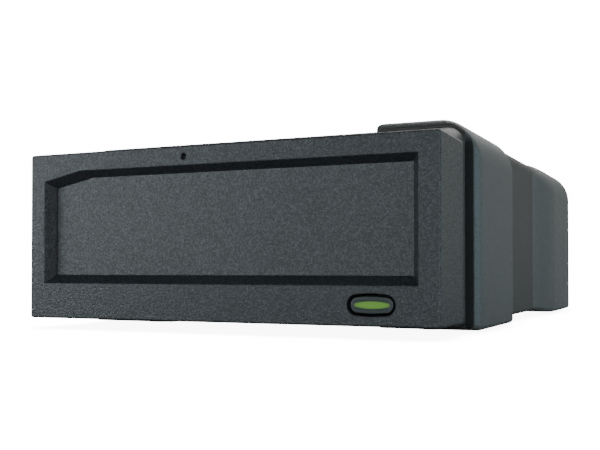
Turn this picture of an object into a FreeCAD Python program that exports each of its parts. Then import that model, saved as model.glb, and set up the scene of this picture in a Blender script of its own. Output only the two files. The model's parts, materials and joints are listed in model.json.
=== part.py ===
"""External removable disk drive: a front-loading dock for one disk cartridge.

Frame: X to the right as seen from the front, front facing -Y, Z up. The origin is the middle
of the footprint, on the surface that the feet stand on. Millimetres.
"""
import FreeCAD, Part
import math
import os

V = FreeCAD.Vector

# The cartridge, and the bay that holds it
CART_WIDTH = 87.0
CART_DEPTH = 119.0
CART_SIDE_PLAY = 0.5
BAY_HEIGHT = 24.2        # the cartridge is 24 mm high
BAY_FRONT = 8.0          # parked cartridge starts this far behind the front face
GUIDE_WALL = 2.35        # plastic beside the cartridge
RAIL = 1.0               # plastic under and over the cartridge
RAIL_REACH = 5.0         # how far the rails reach under the cartridge
GUIDE_LEAD = (1.3, 6.0)  # the guides open by this much over this depth at the front
SHEET = 1.0              # steel sheet of the chassis
CHASSIS_FRONT = 34.0     # chassis starts behind the door's swing

# Clearances
GAP = 0.3                # between parts that move past each other
FIT = 0.1                # between parts that are assembled and stay
SEAM = 0.35              # shadow gap between the mouldings
INTO = 0.5               # how deep a fused piece starts inside its neighbour

# Room round the bay
SIDE_ROOM = 2.4          # between the chassis and the housing's sides
GEAR_ROOM = 3.75         # between the main board and the chassis, for the eject gears
LATCH_ROOM = 6.65        # over the chassis, for the emergency release
BACKPLANE_BEHIND = 3.5   # backplane behind the cartridge
REAR_ROOM = 41.5         # from the backplane to the end of the housing
BOARD_LIFT = 2.2         # main board above the base plate
PCB = 1.6

# Housing core and the corner guards on it
WALL = 2.2
FOOT_STAND = 0.5         # feet stand this much below the guards
GUARD_SIDE = 3.0         # guards stand proud of the core at the sides
GUARD_TOP = 1.8          # and on the top, at the right only
GUARD_UNDER = 1.3
GUARD_WRAP = 24.4        # guards reach this far in on the top and underneath
GUARD_CORNER = 10.0
LEFT_CORNER = 7.0
LEFT_SINK = 1.1          # the left guards stay this much under the core's top
GUARD_EDGE = 1.2         # radius where the guards turn under
GUARD_END = 1.5          # rounding of the guards' inboard ends
GUARD_RIM = 0.8          # rounding of their rear ends
CORE_CORNER = 3.8
CORE_EDGE = 1.0          # radius along the core's lower edges
CORE_FRONT_DROP = 3.3    # the core's top falls this much to its front edge
CORE_FRONT_RAMP = 14.0
REAR_PLATE = 3.0         # rear panel behind the housing
PANEL_EDGE = 0.6
PANEL_INSET = 0.2        # rear panel smaller than the core, all round

# Guards along the depth, as start, full size and end: the front pair is measured from the
# front face, the rear pair from the rear face
FRONT_GUARD = (25.0, 32.5, 65.5)
REAR_GUARD = (69.0, 39.2, 6.3)
SWELL_STEPS = (0.1, 0.25, 0.5, 0.75, 1.0)
SWELL_SUNK = 1.07        # a guard starts a little inside the core
SHOULDER = (3.6, 5.0)    # how steeply the front guards rise, at the side and on the top
REAR_EASE = 1.15         # above 1, the rear guards rise later

# Front bezel
BEZEL_INSET = 1.5        # narrower than the guards, at each side
BEZEL_LIFT = 0.9         # above the core's underside
BEZEL_DROP = 4.86        # below the core's top
BEZEL_DEPTH = 18.0
BEZEL_FACE = 3.2         # thickness of the front wall
BEZEL_EDGE = 0.35        # soft edge round the front face
BEZEL_CORNER = 0.6
BEZEL_REAR_CORNER = 1.0
TONGUE = 5.0             # the bezel and the rear panel plug this far into the housing
TONGUE_WALL = 1.2
TONGUE_CORNER = 1.8

# Door recess in the bezel
DOOR_SIDE = 3.1          # the opening is this much wider than the bay, at each side
DOOR_SHIFT = 0.25        # and this much to the left
DOOR_RECESS = 2.85
RECESS_SIDE = 1.85       # width of the bevelled frame at the sides
RECESS_TOP = 1.55
RECESS_UNDER = 2.15
CLIP_RUN = 11.0          # the slanted corner at the top left
CLIP_DROP = 2.35

# Door flap
FLAP_THICK = 1.8
FLAP_LAP = 0.9           # the flap overlaps the opening behind the frame
FLAP_TOP_LAP = 1.15
FLAP_RIBS = 5
RIB = 0.8                # ribs behind the flap: width, and about how far they stand
RIB_END = 2.0            # ribs stop this far from the flap's edge
HINGE_ABOVE = 2.15       # hinge axis above the opening
HINGE_PIN = 1.6
KNUCKLE = 1.55           # radius of a hinge knuckle
EAR_WIDTH = 3.0
EAR_WALL = 1.6
EAR_REACH = 2.3          # ear round the hinge axis
DOOR_SPRING_ROOM = 4.0   # length beside the left knuckle that the spring takes
DOOR_SPRING_TURNS = 3

# Eject button
BUTTON_FROM_EDGE = 15.3  # from the bezel's right edge
BUTTON_UNDER = 6.25      # below the door opening
BUTTON_HOLE = (11.0, 4.95)
BUTTON_CAP = (9.6, 3.6)
BUTTON_LENS = (8.0, 1.8)
BUTTON_NECK = (6.0, 2.6)
BUTTON_ROUND = 0.62      # end bulge of the button's outline, as a share of half its height
BUTTON_CROWN = 0.12      # bulge of its long sides
BUTTON_DEEP = 4.6
BUTTON_SINK = 0.5
BUTTON_TRAVEL = 1.2
BUTTON_SHANK = 2.0
BUTTON_HOOK = 4.0        # height of the hooks that keep the cap in its sleeve
HOOK_LAP = 0.7
HOOK_THICK = 1.0
LENS_DEEP = 2.0
LENS_SINK = 0.1
SLEEVE = 3.0             # sleeve behind the button hole
SLEEVE_WALL = 0.8
BUTTON_TURNS = 3
SWITCH = (6.0, 3.5)      # tact switch: width and depth
SWITCH_PLUNGER = 0.5
PLUNGER = 0.9
SWITCH_PLAY = 0.05       # the shank stops this short of the pressed switch
BUTTON_BOARD = (18.0, 2.0, 4.5)     # width, and reach under and over the button's axis
LED = (2.6, 1.0, 0.9, 1.2)          # square, its height, its dome's radius and height
LED_AT = (-5.3, 0.3)                # from the button's axis

# Emergency release
PIN_X = -8.25
PIN_OVER = 1.45          # pinhole above the chassis
PIN_HOLE = 1.5
ROD = 1.4
ROD_ROOM = 0.45          # round the rod where it passes the bezel
ROD_COLLAR = 2.6
COLLAR_THICK = 0.8
ROD_BEHIND = 57.5        # rod ends this far behind the front face
ROD_TURNS = 4
SADDLES_BEHIND = (37.5, 52.5)
SADDLE = (4.0, 1.0)      # width and thickness of a saddle on the lid
RELEASE_TRAVEL = 4.0
LEVER_ARM = 12.25        # from the rod to the lever's pivot
LEVER_BEHIND = 3.0       # pivot behind the rod's end
LEVER_THICK = 1.0
LEVER_HALF = 1.6
LEVER_BOSS = 3.0
LEVER_REACH = 12.0       # from the pivot to the hook
LEVER_PAD = 0.9
HOOK = (3.0, 1.0)
HOOK_DIP = 0.85          # the hook reaches this far into the cartridge's notch
HOOK_ROOM = 1.5
HAIR_LEG = 9.0           # leg of the lever's spring

# Wire springs
WIRE = 0.35

# Fan
FAN = 38.0
FAN_DEPTH = 10.0
FAN_RIM = 1.5            # least wall round the fan's bore
FAN_FROM_SIDE = 24.8
FAN_LIFT = 2.0
FAN_CORNER = 3.0
FAN_SCREW = (3.2, 1.3)   # mounting hole: from the frame's sides, and its radius
FAN_HUB = 16.0
FAN_HUB_WALL = 1.2
FAN_BLADES = 7
FAN_STRUTS = 4
FAN_SHAFT = 1.54
FAN_BUSH = (3.2, 4.5)    # diameter and length
FAN_BACK = 1.5           # thickness of the struts and the motor plate
FAN_FACE = 0.5           # rotor behind the frame's front
BLADE_TIP = 0.6          # running gap at the blade tips
BLADE_FILL = 0.63        # depth of the blades as a share of the rotor's
BLADE_LEAN = ((0.0, 42), (0.5, 52), (1.0, 60))      # degrees at the hub, half way and the tip
BLADE_THICK = (0.8, 0.5)
GRILLE_FIRST = 5.2       # grille slots: first radius, step and half width
GRILLE_STEP = 3.6
GRILLE_HALF = 1.1
GRILLE_SLOTS = 4
SPOKE_HALF = 0.9

# Eject gear train, flat under the chassis tray
MODULE = 0.5
PRESSURE = math.radians(20)
PINION_TEETH = 12        # on the motor
IDLER_WHEEL = 28
IDLER_SMALL = 16
WHEEL_TEETH = 32         # on the output gear
SMALL_TEETH = 12
IDLER_BEARING = 60.0     # direction from the output gear's axis to the idler's, from -X towards +Y
MOTOR_BEARING = 85.0
GEAR_THICK = 1.2
GEAR_FLOOR = 0.5         # gears above the main board
GEAR_HUB = 0.9           # wall of a gear's hub
BACKLASH = 0.12
SLIDER_FROM_SIDE = 18.0  # pitch line of the rack from the bay's left side
SLIDER_WIDTH = 3.0
SLIDER_TRAVEL = 18.0
SLIDER_END = 4.5         # the rack runs this far past the mesh at each end
SLIDER_POST = (2.0, 7.0) # post that pushes the cartridge: depth, and height in the bay
OUTPUT_AHEAD = 7.5       # output gear's axis in front of the cartridge's rear
STUD = 1.5
CLIP = (0.5, 0.3)        # clip under a gear: wider than the stud, and its thickness
MOTOR = (12.0, 16.0)     # diameter and height
MOTOR_SHAFT = 1.5
MOTOR_SHAFT_IN = 1.0
MOTOR_END = (1.6, 0.8)   # bearing boss on the motor: radius and height

# Fasteners and feet
SCREW = 2.5
SCREW_HEAD = (2.6, 1.4)  # radius and height of the countersunk head
BOSS = 2.6               # radius of a boss or post
CHASSIS_SCREW_INSET = 2.4
CHASSIS_SCREW_ENDS = (15.5, 9.5)
BOARD_HEAD = 2.2
BOARD_SCREW_INSET = 4.0
BOARD_SCREW_ENDS = (11.5, 4.2)
FOOT = 9.0
FOOT_DEEP = 1.2
FOOT_BEVEL = 0.3
FOOT_INSET = 9.5
FOOT_ENDS = (40.5, 25.5)
AIR_SLOTS = 7            # in the base plate, under the main board
AIR_SLOT = (32.0, 1.8, 4.2)         # length, width and pitch
AIR_FROM_BAY = 47.5      # first slot in front of the cartridge's rear

# Boards and what stands on them
BOARD_INSET = 7.5        # main board narrower than the base plate, at each side
BOARD_BEHIND = 16.0      # main board starts this far behind the front face
BOARD_FAN_GAP = 4.0
BOARD_END = 0.5          # the board's socket side stops this short of the housing's end
BACKPLANE_INSET = 6.0
PLUG = (40.0, 7.0, 3.45) # docking connector: width, height and lift above the bay's floor
BLADES = ((-17.0, -7.0), (-5.0, 16.0))
BLADE = (1.2, 5.0, 2.8)  # connector blade: thickness, reach and height in the plug
BLADE_KEY = 2.4
SINK = (18.0, 16.0, 12.0)
SINK_FROM_FAN = 27.0
SINK_BEHIND = 7.0        # heat sink behind the backplane
SINK_FINS = 7
SINK_BASE = 2.0
# Chips: the board's side that x is measured from, x, y from the board's front, width, depth, height
CHIPS = ((0, 10.0, 51.5, 14.0, 14.0, 1.4), (0, -8.0, 25.5, 10.0, 8.0, 1.2),
         (1, -16.0, 27.5, 8.0, 5.0, 1.0), (-1, 8.0, 21.5, 6.0, 6.0, 1.6),
         (1, -12.0, 91.5, 5.0, 8.0, 2.6), (-1, 6.0, 51.5, 9.0, 4.0, 2.2))

# Sockets at the back
USB_FROM_SIDE = 37.8
USB = (12.0, 11.0, 16.0)
USB_MOUTH = (4.2, 1.3, 9.2, 1.5, 2.6, 9.5)  # half width, low, high, corner run and drop, depth
USB_TONGUE = (2.7, 3.6, 6.8)                # half width, low and high
JACK_FROM_SIDE = 16.8
JACK = (9.0, 11.0, 13.0)
JACK_BORE = 5.5
JACK_PIN = 2.1
JACK_DEEP = 9.0
SOCKET_PROUD = 1.2       # sockets stand out of the housing's end, into the rear panel
SOCKET_ROOM = 0.2
LOCK_FROM_SIDE = 8.8
LOCK_UNDER = 16.7
LOCK = (3.0, 7.0)

# Chassis openings
WINDOWS = 3
WINDOW_WEB = 10.0
WINDOW_EDGES = (7.0, 8.0)           # steel left under and over a window
LID_VENTS = 4
LID_VENT = (3.0, 9.0, 12.5)         # width, pitch, and the last one from the bay's rear
LID_VENT_INSET = 23.4

# Widths, from the bay outwards
BAY_HALF = CART_WIDTH / 2 + CART_SIDE_PLAY
TRAY_HALF = BAY_HALF + GUIDE_WALL + FIT / 2 + SHEET
INNER_HALF = TRAY_HALF + SIDE_ROOM
PLATE_HALF = INNER_HALF - GAP
CORE_HALF = INNER_HALF + WALL
WIDTH = 2 * (CORE_HALF + GUARD_SIDE)
GUARD_INBOARD = WIDTH / 2 - GUARD_WRAP
BEZEL_HALF = WIDTH / 2 - BEZEL_INSET
DOOR_HALF = BAY_HALF + DOOR_SIDE
FLAP_HALF = DOOR_HALF + FLAP_LAP
BOARD_HALF = PLATE_HALF - BOARD_INSET
FAN_BORE = FAN - 2 * FAN_RIM

# Heights, from the feet upwards
CORE_BOTTOM = FOOT_STAND + GUARD_UNDER
PLATE_TOP = CORE_BOTTOM + WALL
BOARD_BOTTOM = PLATE_TOP + BOARD_LIFT
BOARD_TOP = BOARD_BOTTOM + PCB
GEAR_LOW = BOARD_TOP + GEAR_FLOOR
GEAR_HIGH = GEAR_LOW + GEAR_THICK + GAP
TRAY_BOTTOM = BOARD_TOP + GEAR_ROOM
TRAY_TOP = TRAY_BOTTOM + SHEET
BAY_BOTTOM = TRAY_TOP + RAIL
BAY_TOP = BAY_BOTTOM + BAY_HEIGHT
LID_BOTTOM = BAY_TOP + RAIL + FIT
LID_TOP = LID_BOTTOM + SHEET
INNER_TOP = LID_TOP + LATCH_ROOM
CORE_TOP = INNER_TOP + WALL
HEIGHT = CORE_TOP + GUARD_TOP
BEZEL_BOTTOM = CORE_BOTTOM + BEZEL_LIFT
BEZEL_TOP = CORE_TOP - BEZEL_DROP
HINGE_Z = BAY_TOP + HINGE_ABOVE
PIN_Z = LID_TOP + PIN_OVER
LEVER_Z = LID_TOP + GAP
INNER_CORNER = max(INTO, CORE_CORNER - WALL)

# Depths, from the front face backwards; the origin is in the middle
DEPTH = BAY_FRONT + CART_DEPTH + BACKPLANE_BEHIND + REAR_ROOM + REAR_PLATE
FRONT = -DEPTH / 2
REAR = DEPTH / 2
BEZEL_BACK = FRONT + BEZEL_DEPTH
CORE_START = BEZEL_BACK + SEAM
RAMP_END = CORE_START + CORE_FRONT_RAMP
CORE_END = REAR - REAR_PLATE
PANEL_Y = CORE_END + SEAM
HINGE_Y = FRONT + DOOR_RECESS + FLAP_THICK
CHASSIS_Y = FRONT + CHASSIS_FRONT
BAY_REAR = FRONT + BAY_FRONT + CART_DEPTH
BACKPLANE_Y = BAY_REAR + BACKPLANE_BEHIND
FAN_FRONT = CORE_END - GAP - FAN_DEPTH
BOARD_FRONT = FRONT + BOARD_BEHIND
BOARD_REAR = FAN_FRONT - BOARD_FAN_GAP
BUTTON_BOARD_Y = BOARD_FRONT - GAP - PCB
SWITCH_Y = BUTTON_BOARD_Y - SWITCH[1]
SHANK_END = SWITCH_Y - SWITCH_PLUNGER - BUTTON_TRAVEL - SWITCH_PLAY
HOOK_Y = FRONT + BEZEL_FACE + SLEEVE + FIT / 2
ROD_END = FRONT + ROD_BEHIND
SADDLES = tuple(FRONT + behind for behind in SADDLES_BEHIND)

# Places of single pieces
BUTTON_X = BEZEL_HALF - BUTTON_FROM_EDGE
BUTTON_Z = BAY_BOTTOM - BUTTON_UNDER
LEVER_PIVOT = (PIN_X + LEVER_ARM, ROD_END + LEVER_BEHIND)
SLIDER_X = SLIDER_FROM_SIDE - BAY_HALF
SLIDER_BAR = SLIDER_X + 1.2 * MODULE
OUTPUT_AXIS = (SLIDER_X - MODULE * SMALL_TEETH / 2, BAY_REAR - OUTPUT_AHEAD)
FAN_X = INNER_HALF - FAN_FROM_SIDE
FAN_Z = PLATE_TOP + FAN_LIFT + FAN / 2
USB_X = USB_FROM_SIDE - INNER_HALF
JACK_X = JACK_FROM_SIDE - INNER_HALF
LOCK_X = LOCK_FROM_SIDE - INNER_HALF
LOCK_Z = CORE_TOP - LOCK_UNDER
CHASSIS_SCREWS = ((TRAY_HALF - CHASSIS_SCREW_INSET, CHASSIS_Y + CHASSIS_SCREW_ENDS[0]),
                  (TRAY_HALF - CHASSIS_SCREW_INSET, BAY_REAR - CHASSIS_SCREW_ENDS[1]))
BOARD_SCREWS = ((BOARD_HALF - BOARD_SCREW_INSET, BOARD_FRONT + BOARD_SCREW_ENDS[0]),
                (BOARD_HALF - BOARD_SCREW_INSET, BOARD_REAR - BOARD_SCREW_ENDS[1]))
FEET = ((PLATE_HALF - FOOT_INSET, FRONT + FOOT_ENDS[0]), (PLATE_HALF - FOOT_INSET, REAR - FOOT_ENDS[1]))


def block(x0, x1, y0, y1, z0, z1):
    """Rectangular solid between two corners."""
    return Part.makeBox(x1 - x0, y1 - y0, z1 - z0, V(x0, y0, z0))


def rod(start, axis, radius, length):
    """Round bar from a start point along an axis."""
    return Part.makeCylinder(radius, length, V(*start), V(*axis))


def along_y(outline, y0, y1):
    """Solid from an outline in the XZ plane at y0, drawn back to y1."""
    return Part.Face(outline).extrude(V(0, y1 - y0, 0))


def rounded(y, half, bottom, top, r_top, r_bottom):
    """Rectangle in the XZ plane at depth y, with rounded corners."""
    def arc(cx, cz, r, first):
        turns = (first, first + 45, first + 90)
        p = [V(cx + r * math.cos(math.radians(a)), y, cz + r * math.sin(math.radians(a))) for a in turns]
        return Part.Arc(*p).toShape()
    xt, xb = half - r_top, half - r_bottom
    arcs = [arc(xt, top - r_top, r_top, 0), arc(-xt, top - r_top, r_top, 90),
            arc(-xb, bottom + r_bottom, r_bottom, 180), arc(xb, bottom + r_bottom, r_bottom, 270)]
    edges = []
    for i, a in enumerate(arcs):
        edges.append(a)
        after = arcs[(i + 1) % 4]
        edges.append(Part.makeLine(a.Vertexes[-1].Point, after.Vertexes[0].Point))
    return Part.Wire(edges)


def polygon_xz(points, y):
    """Closed outline in the XZ plane at depth y."""
    return Part.makePolygon([V(x, y, z) for x, z in points] + [V(points[0][0], y, points[0][1])])


def pill(width, height, y):
    """Outline of the button, with round ends and arched long sides."""
    a, b = width / 2, height / 2
    left, right = BUTTON_X - a + BUTTON_ROUND * b, BUTTON_X + a - BUTTON_ROUND * b
    high, low = BUTTON_Z + b * (1 - BUTTON_CROWN), BUTTON_Z - b * (1 - BUTTON_CROWN)
    arcs = [Part.Arc(V(right, y, high), V(BUTTON_X, y, BUTTON_Z + b), V(left, y, high)),
            Part.Arc(V(left, y, high), V(BUTTON_X - a, y, BUTTON_Z), V(left, y, low)),
            Part.Arc(V(left, y, low), V(BUTTON_X, y, BUTTON_Z - b), V(right, y, low)),
            Part.Arc(V(right, y, low), V(BUTTON_X + a, y, BUTTON_Z), V(right, y, high))]
    return Part.Wire([arc.toShape() for arc in arcs])


def pill_block(size, y0, y1):
    """The button's outline drawn from y0 back to y1."""
    return along_y(pill(size[0], size[1], y0), y0, y1)


def fused(shapes):
    """One solid from several that touch."""
    body = shapes[0]
    if len(shapes) > 1:
        body = body.fuse(shapes[1:])
    return body.removeSplitter()


def mirrored(shape):
    """The same shape on the other side of the object."""
    return shape.mirror(V(0, 0, 0), V(1, 0, 0))


def both_sides(points):
    """Each place and its mirror on the other side."""
    return [(side * x, y) for x, y in points for side in (-1, 1)]


def span_x(x, side, length):
    """The two ends, in order, of a length that starts at x and runs to one side."""
    return sorted((x, x + side * length))


def front_swell(part):
    """Shares of a front guard's side and top that are missing at this part of its swell."""
    return (1 - part) ** SHOULDER[0], (1 - part) ** SHOULDER[1]


def rear_swell(part):
    """The same for a rear guard, which rises in a gentle S."""
    missing = (1 + math.cos(math.pi * part ** REAR_EASE)) / 2
    return missing, missing


def guard(span, swell, side):
    """One corner guard: it swells out of the core, runs straight and ends in a step."""
    start, full, end = span
    top = HEIGHT if side > 0 else CORE_TOP - LEFT_SINK
    rise = GUARD_TOP if side > 0 else 0.0
    corner = GUARD_CORNER if side > 0 else LEFT_CORNER

    def section(y, beside, above):
        return rounded(y, WIDTH / 2 - GUARD_SIDE * beside, FOOT_STAND + GUARD_UNDER * beside, top - rise * above,
                       corner + (CORE_CORNER - corner) * beside, GUARD_EDGE)
    sections = [section(start, SWELL_SUNK, SWELL_SUNK)]
    for part in SWELL_STEPS:
        sections.append(section(start + part * (full - start), *swell(part)))
    straight = along_y(section(full, 0.0, 0.0), full, end)
    rim = [e for e in straight.Edges if all(abs(v.Point.y - end) < 1e-6 for v in e.Vertexes)]
    body = Part.makeLoft(sections, True, False).fuse(straight.makeFillet(GUARD_RIM, rim))
    inboard = span_x(side * GUARD_INBOARD, -side, WIDTH)
    body = body.cut(block(*inboard, start - 1, end + 1, FOOT_STAND - 1, HEIGHT + 1))
    if side < 0:
        return body
    x, z = GUARD_INBOARD + GUARD_END, HEIGHT - GUARD_END
    corner = block(GUARD_INBOARD, x, start - 1, end + 1, z, HEIGHT + 1)
    return body.cut(corner.cut(rod((x, start - 1, z), (0, 1, 0), GUARD_END, end - start + 2)))


def guards():
    """The four corner guards."""
    front = [FRONT + y for y in FRONT_GUARD]
    rear = [REAR - y for y in REAR_GUARD]
    first = guard(front, front_swell, 1)
    return first.fuse([guard(front, front_swell, -1), guard(rear, rear_swell, 1), guard(rear, rear_swell, -1)])


def core():
    """Outer form of the housing between the guards, with its ramp behind the bezel."""
    def section(y, drop):
        return rounded(y, CORE_HALF - 0.1 * drop, CORE_BOTTOM, CORE_TOP - drop, CORE_CORNER - 0.3 * drop, CORE_EDGE)
    ramp = Part.makeLoft([section(CORE_START + part * CORE_FRONT_RAMP, share * CORE_FRONT_DROP)
                          for part, share in ((0.0, 1.0), (0.3, 0.42), (0.65, 0.1), (1.0, 0.0))], True, False)
    return ramp.fuse(along_y(section(RAMP_END, 0.0), RAMP_END, CORE_END))


def cavity():
    """Room inside the housing, lower at the front where the top ramps down."""
    def section(y, drop, corner):
        return rounded(y, INNER_HALF, -WALL, INNER_TOP - drop, corner, INTO)
    front = Part.makeLoft([section(CORE_START - 1, CORE_FRONT_DROP, INNER_CORNER / 2),
                           section(RAMP_END, 0.0, INNER_CORNER)], True, True)
    return front.fuse(along_y(section(RAMP_END, 0.0, INNER_CORNER), RAMP_END, CORE_END + 1))


def housing_cover(all_guards):
    """Top and sides in one moulding, open underneath, with the corner guards on it."""
    cover = core().fuse(all_guards).cut(cavity())
    under = block(-INNER_HALF, INNER_HALF, CORE_START - 1, CORE_END + 1, -1, PLATE_TOP)
    return cover.cut(under).removeSplitter()


def base_plate(all_guards):
    """Floor between the cover's sides: guards' underside, foot and screw wells, bosses, air slots."""
    plate = block(-PLATE_HALF, PLATE_HALF, CORE_START, CORE_END, CORE_BOTTOM, PLATE_TOP)
    band = block(-PLATE_HALF, PLATE_HALF, CORE_START, CORE_END, FOOT_STAND - FIT, PLATE_TOP - WALL / 2)
    plate = plate.fuse(all_guards.common(band))
    well = FOOT_STAND + FOOT_DEEP + FIT
    for x, y in both_sides(FEET):
        plate = plate.cut(rod((x, y, -1), (0, 0, 1), FOOT / 2 + FIT, 1 + well))
    bosses = [rod((x, y, PLATE_TOP - INTO), (0, 0, 1), BOSS, TRAY_BOTTOM - PLATE_TOP + INTO)
              for x, y in both_sides(CHASSIS_SCREWS)]
    posts = [rod((x, y, PLATE_TOP - INTO), (0, 0, 1), BOSS, BOARD_BOTTOM - PLATE_TOP + INTO)
             for x, y in both_sides(BOARD_SCREWS)]
    plate = fused([plate] + bosses + posts)
    radius, height = SCREW_HEAD
    for x, y in both_sides(CHASSIS_SCREWS):
        plate = plate.cut(rod((x, y, -1), (0, 0, 1), radius + 2 * FIT, 1 + CORE_BOTTOM))
        seat = Part.makeCone(radius + FIT, SCREW / 2 + FIT / 2, height + FIT / 2, V(x, y, CORE_BOTTOM), V(0, 0, 1))
        plate = plate.cut(seat)
        plate = plate.cut(rod((x, y, CORE_BOTTOM), (0, 0, 1), SCREW / 2 + FIT / 2, TRAY_BOTTOM))
    for x, y in both_sides(BOARD_SCREWS):
        plate = plate.cut(rod((x, y, PLATE_TOP - 1), (0, 0, 1), SCREW / 2, BOARD_LIFT + 2))
    length, width, pitch = AIR_SLOT
    for i in range(AIR_SLOTS):
        y = BAY_REAR - AIR_FROM_BAY + pitch * i
        plate = plate.cut(block(-length / 2, length / 2, y, y + width, -1, PLATE_TOP + 1))
    return plate


def recess_outline(grow_side, grow_top, grow_under, y):
    """Door opening with the slanted corner, grown on each side."""
    half = DOOR_HALF + grow_side
    low, high = BAY_BOTTOM - grow_under, BAY_TOP + grow_top
    left, right = -DOOR_SHIFT - half, half - DOOR_SHIFT
    return polygon_xz([(left, low), (right, low), (right, high), (left + CLIP_RUN, high),
                       (left, high - CLIP_DROP)], y)


def front_bezel():
    """Deep front cap with the bevelled door frame, a tongue at the back and the hinge ears."""
    inside = FRONT + BEZEL_FACE

    def section(y, inset, corner):
        return rounded(y, BEZEL_HALF - inset, BEZEL_BOTTOM + inset, BEZEL_TOP - inset, corner, BEZEL_CORNER)
    shell = Part.makeLoft([section(FRONT, BEZEL_EDGE, BEZEL_CORNER),
                           section(FRONT + 0.3 * BEZEL_EDGE, 0.3 * BEZEL_EDGE, BEZEL_CORNER),
                           section(FRONT + BEZEL_EDGE, 0.0, BEZEL_CORNER)], True, True)
    shell = shell.fuse(Part.makeLoft([section(FRONT + BEZEL_EDGE, 0.0, BEZEL_CORNER),
                                      section(BEZEL_BACK, 0.0, BEZEL_REAR_CORNER)], True, True))
    tongue = rounded(BEZEL_BACK - 1, INNER_HALF - FIT, PLATE_TOP + FIT, BEZEL_TOP - WALL + TONGUE_WALL,
                     TONGUE_CORNER, BEZEL_CORNER)
    shell = shell.fuse(along_y(tongue, BEZEL_BACK - 1, BEZEL_BACK + TONGUE))
    room = rounded(inside, BEZEL_HALF - WALL, BEZEL_BOTTOM + WALL, BEZEL_TOP - WALL, TONGUE_WALL, BEZEL_CORNER)
    shell = shell.cut(along_y(room, inside, BEZEL_BACK - TONGUE_WALL))
    mouth = rounded(inside, INNER_HALF - FIT - TONGUE_WALL, PLATE_TOP + FIT + TONGUE_WALL, BEZEL_TOP - WALL,
                    TONGUE_CORNER / 2, BEZEL_CORNER)
    shell = shell.cut(along_y(mouth, inside, BEZEL_BACK + TONGUE + 1))
    frame = Part.makeLoft([recess_outline(RECESS_SIDE, RECESS_TOP, RECESS_UNDER, FRONT - 0.01),
                           recess_outline(0, 0, 0, FRONT + DOOR_RECESS)], True, True)
    shell = shell.cut(frame)
    shell = shell.cut(along_y(recess_outline(0, 0, 0, FRONT + 1), FRONT + 1, inside + 1))
    seat = block(-FLAP_HALF - GAP, FLAP_HALF + GAP, FRONT + DOOR_RECESS, inside + 1,
                 BAY_BOTTOM - FLAP_LAP - GAP, HINGE_Z + HINGE_PIN)
    shell = shell.cut(seat)
    shell = shell.cut(pill_block(BUTTON_HOLE, FRONT - 1, inside + 1))
    shell = shell.cut(rod((PIN_X, FRONT - 1, PIN_Z), (0, 1, 0), PIN_HOLE / 2, BEZEL_FACE + 2))
    shell = shell.cut(rod((PIN_X, inside, PIN_Z), (0, 1, 0), ROD / 2 + ROD_ROOM, BEZEL_DEPTH + TONGUE))
    return fused([shell, hinge_ear(-1), hinge_ear(1), button_sleeve()])


def hinge_ear(side):
    """Ear inside the bezel that holds one door pin, hung from the bezel's top wall."""
    x = side * (FLAP_HALF + GAP)
    ear = block(*span_x(x, side, EAR_WALL), FRONT + BEZEL_FACE - PANEL_INSET, HINGE_Y + EAR_REACH,
                HINGE_Z - EAR_REACH, BEZEL_TOP - WALL + PANEL_INSET)
    return ear.cut(rod((x - 2 * EAR_WALL, HINGE_Y, HINGE_Z), (1, 0, 0), HINGE_PIN / 2, 4 * EAR_WALL))


def button_sleeve():
    """Short sleeve behind the button hole that guides the cap."""
    y0, y1 = FRONT + BEZEL_FACE - PANEL_INSET, FRONT + BEZEL_FACE + SLEEVE
    outer = (BUTTON_HOLE[0] + 2 * SLEEVE_WALL, BUTTON_HOLE[1] + 2 * SLEEVE_WALL)
    return pill_block(outer, y0, y1).cut(pill_block(BUTTON_HOLE, y0 - 1, y1 + 1))


def door_flap():
    """Door plate with stiffening ribs behind, two hinge knuckles and room for the spring."""
    low = BAY_BOTTOM - FLAP_LAP
    y0 = FRONT + DOOR_RECESS + FIT / 2
    y1 = y0 + FLAP_THICK
    parts = [block(-FLAP_HALF, FLAP_HALF, y0, y1, low, BAY_TOP + FLAP_TOP_LAP)]
    for side in (-1, 1):
        x0, x1 = span_x(side * FLAP_HALF, -side, EAR_WIDTH)
        parts.append(block(x0, x1, y0, HINGE_Y + HINGE_PIN / 2 + GAP, BAY_TOP - 1, HINGE_Z))
        parts.append(rod((x0, HINGE_Y, HINGE_Z), (1, 0, 0), KNUCKLE, EAR_WIDTH))
    for i in range(FLAP_RIBS):
        x = (2 * i / (FLAP_RIBS - 1) - 1) * (FLAP_HALF - EAR_WIDTH - DOOR_SPRING_ROOM - RIB)
        parts.append(block(x - RIB / 2, x + RIB / 2, y1 - FIT, y1 + RIB - FIT, low + RIB_END, BAY_TOP - RIB_END / 2))
    door = fused(parts)
    for side in (-1, 1):
        x0, x1 = span_x(side * FLAP_HALF, -side, EAR_WIDTH)
        door = door.cut(rod((x0 - 1, HINGE_Y, HINGE_Z), (1, 0, 0), HINGE_PIN / 2 + FIT / 2, EAR_WIDTH + 2))
    return door.cut(rod((-FLAP_HALF + EAR_WIDTH, HINGE_Y, HINGE_Z), (1, 0, 0), KNUCKLE + FIT / 2, DOOR_SPRING_ROOM))


def door_pins():
    """Two steel pins, pressed into the bezel's ears; the left one carries the spring too."""
    pins = []
    for side, more in ((-1, DOOR_SPRING_ROOM - 1.0), (1, -FIT)):
        outer = side * (FLAP_HALF + GAP + EAR_WALL)
        pins.append(rod((outer, HINGE_Y, HINGE_Z), (-side, 0, 0), HINGE_PIN / 2, EAR_WALL + GAP + EAR_WIDTH + more))
    return Part.makeCompound(pins)


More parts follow.
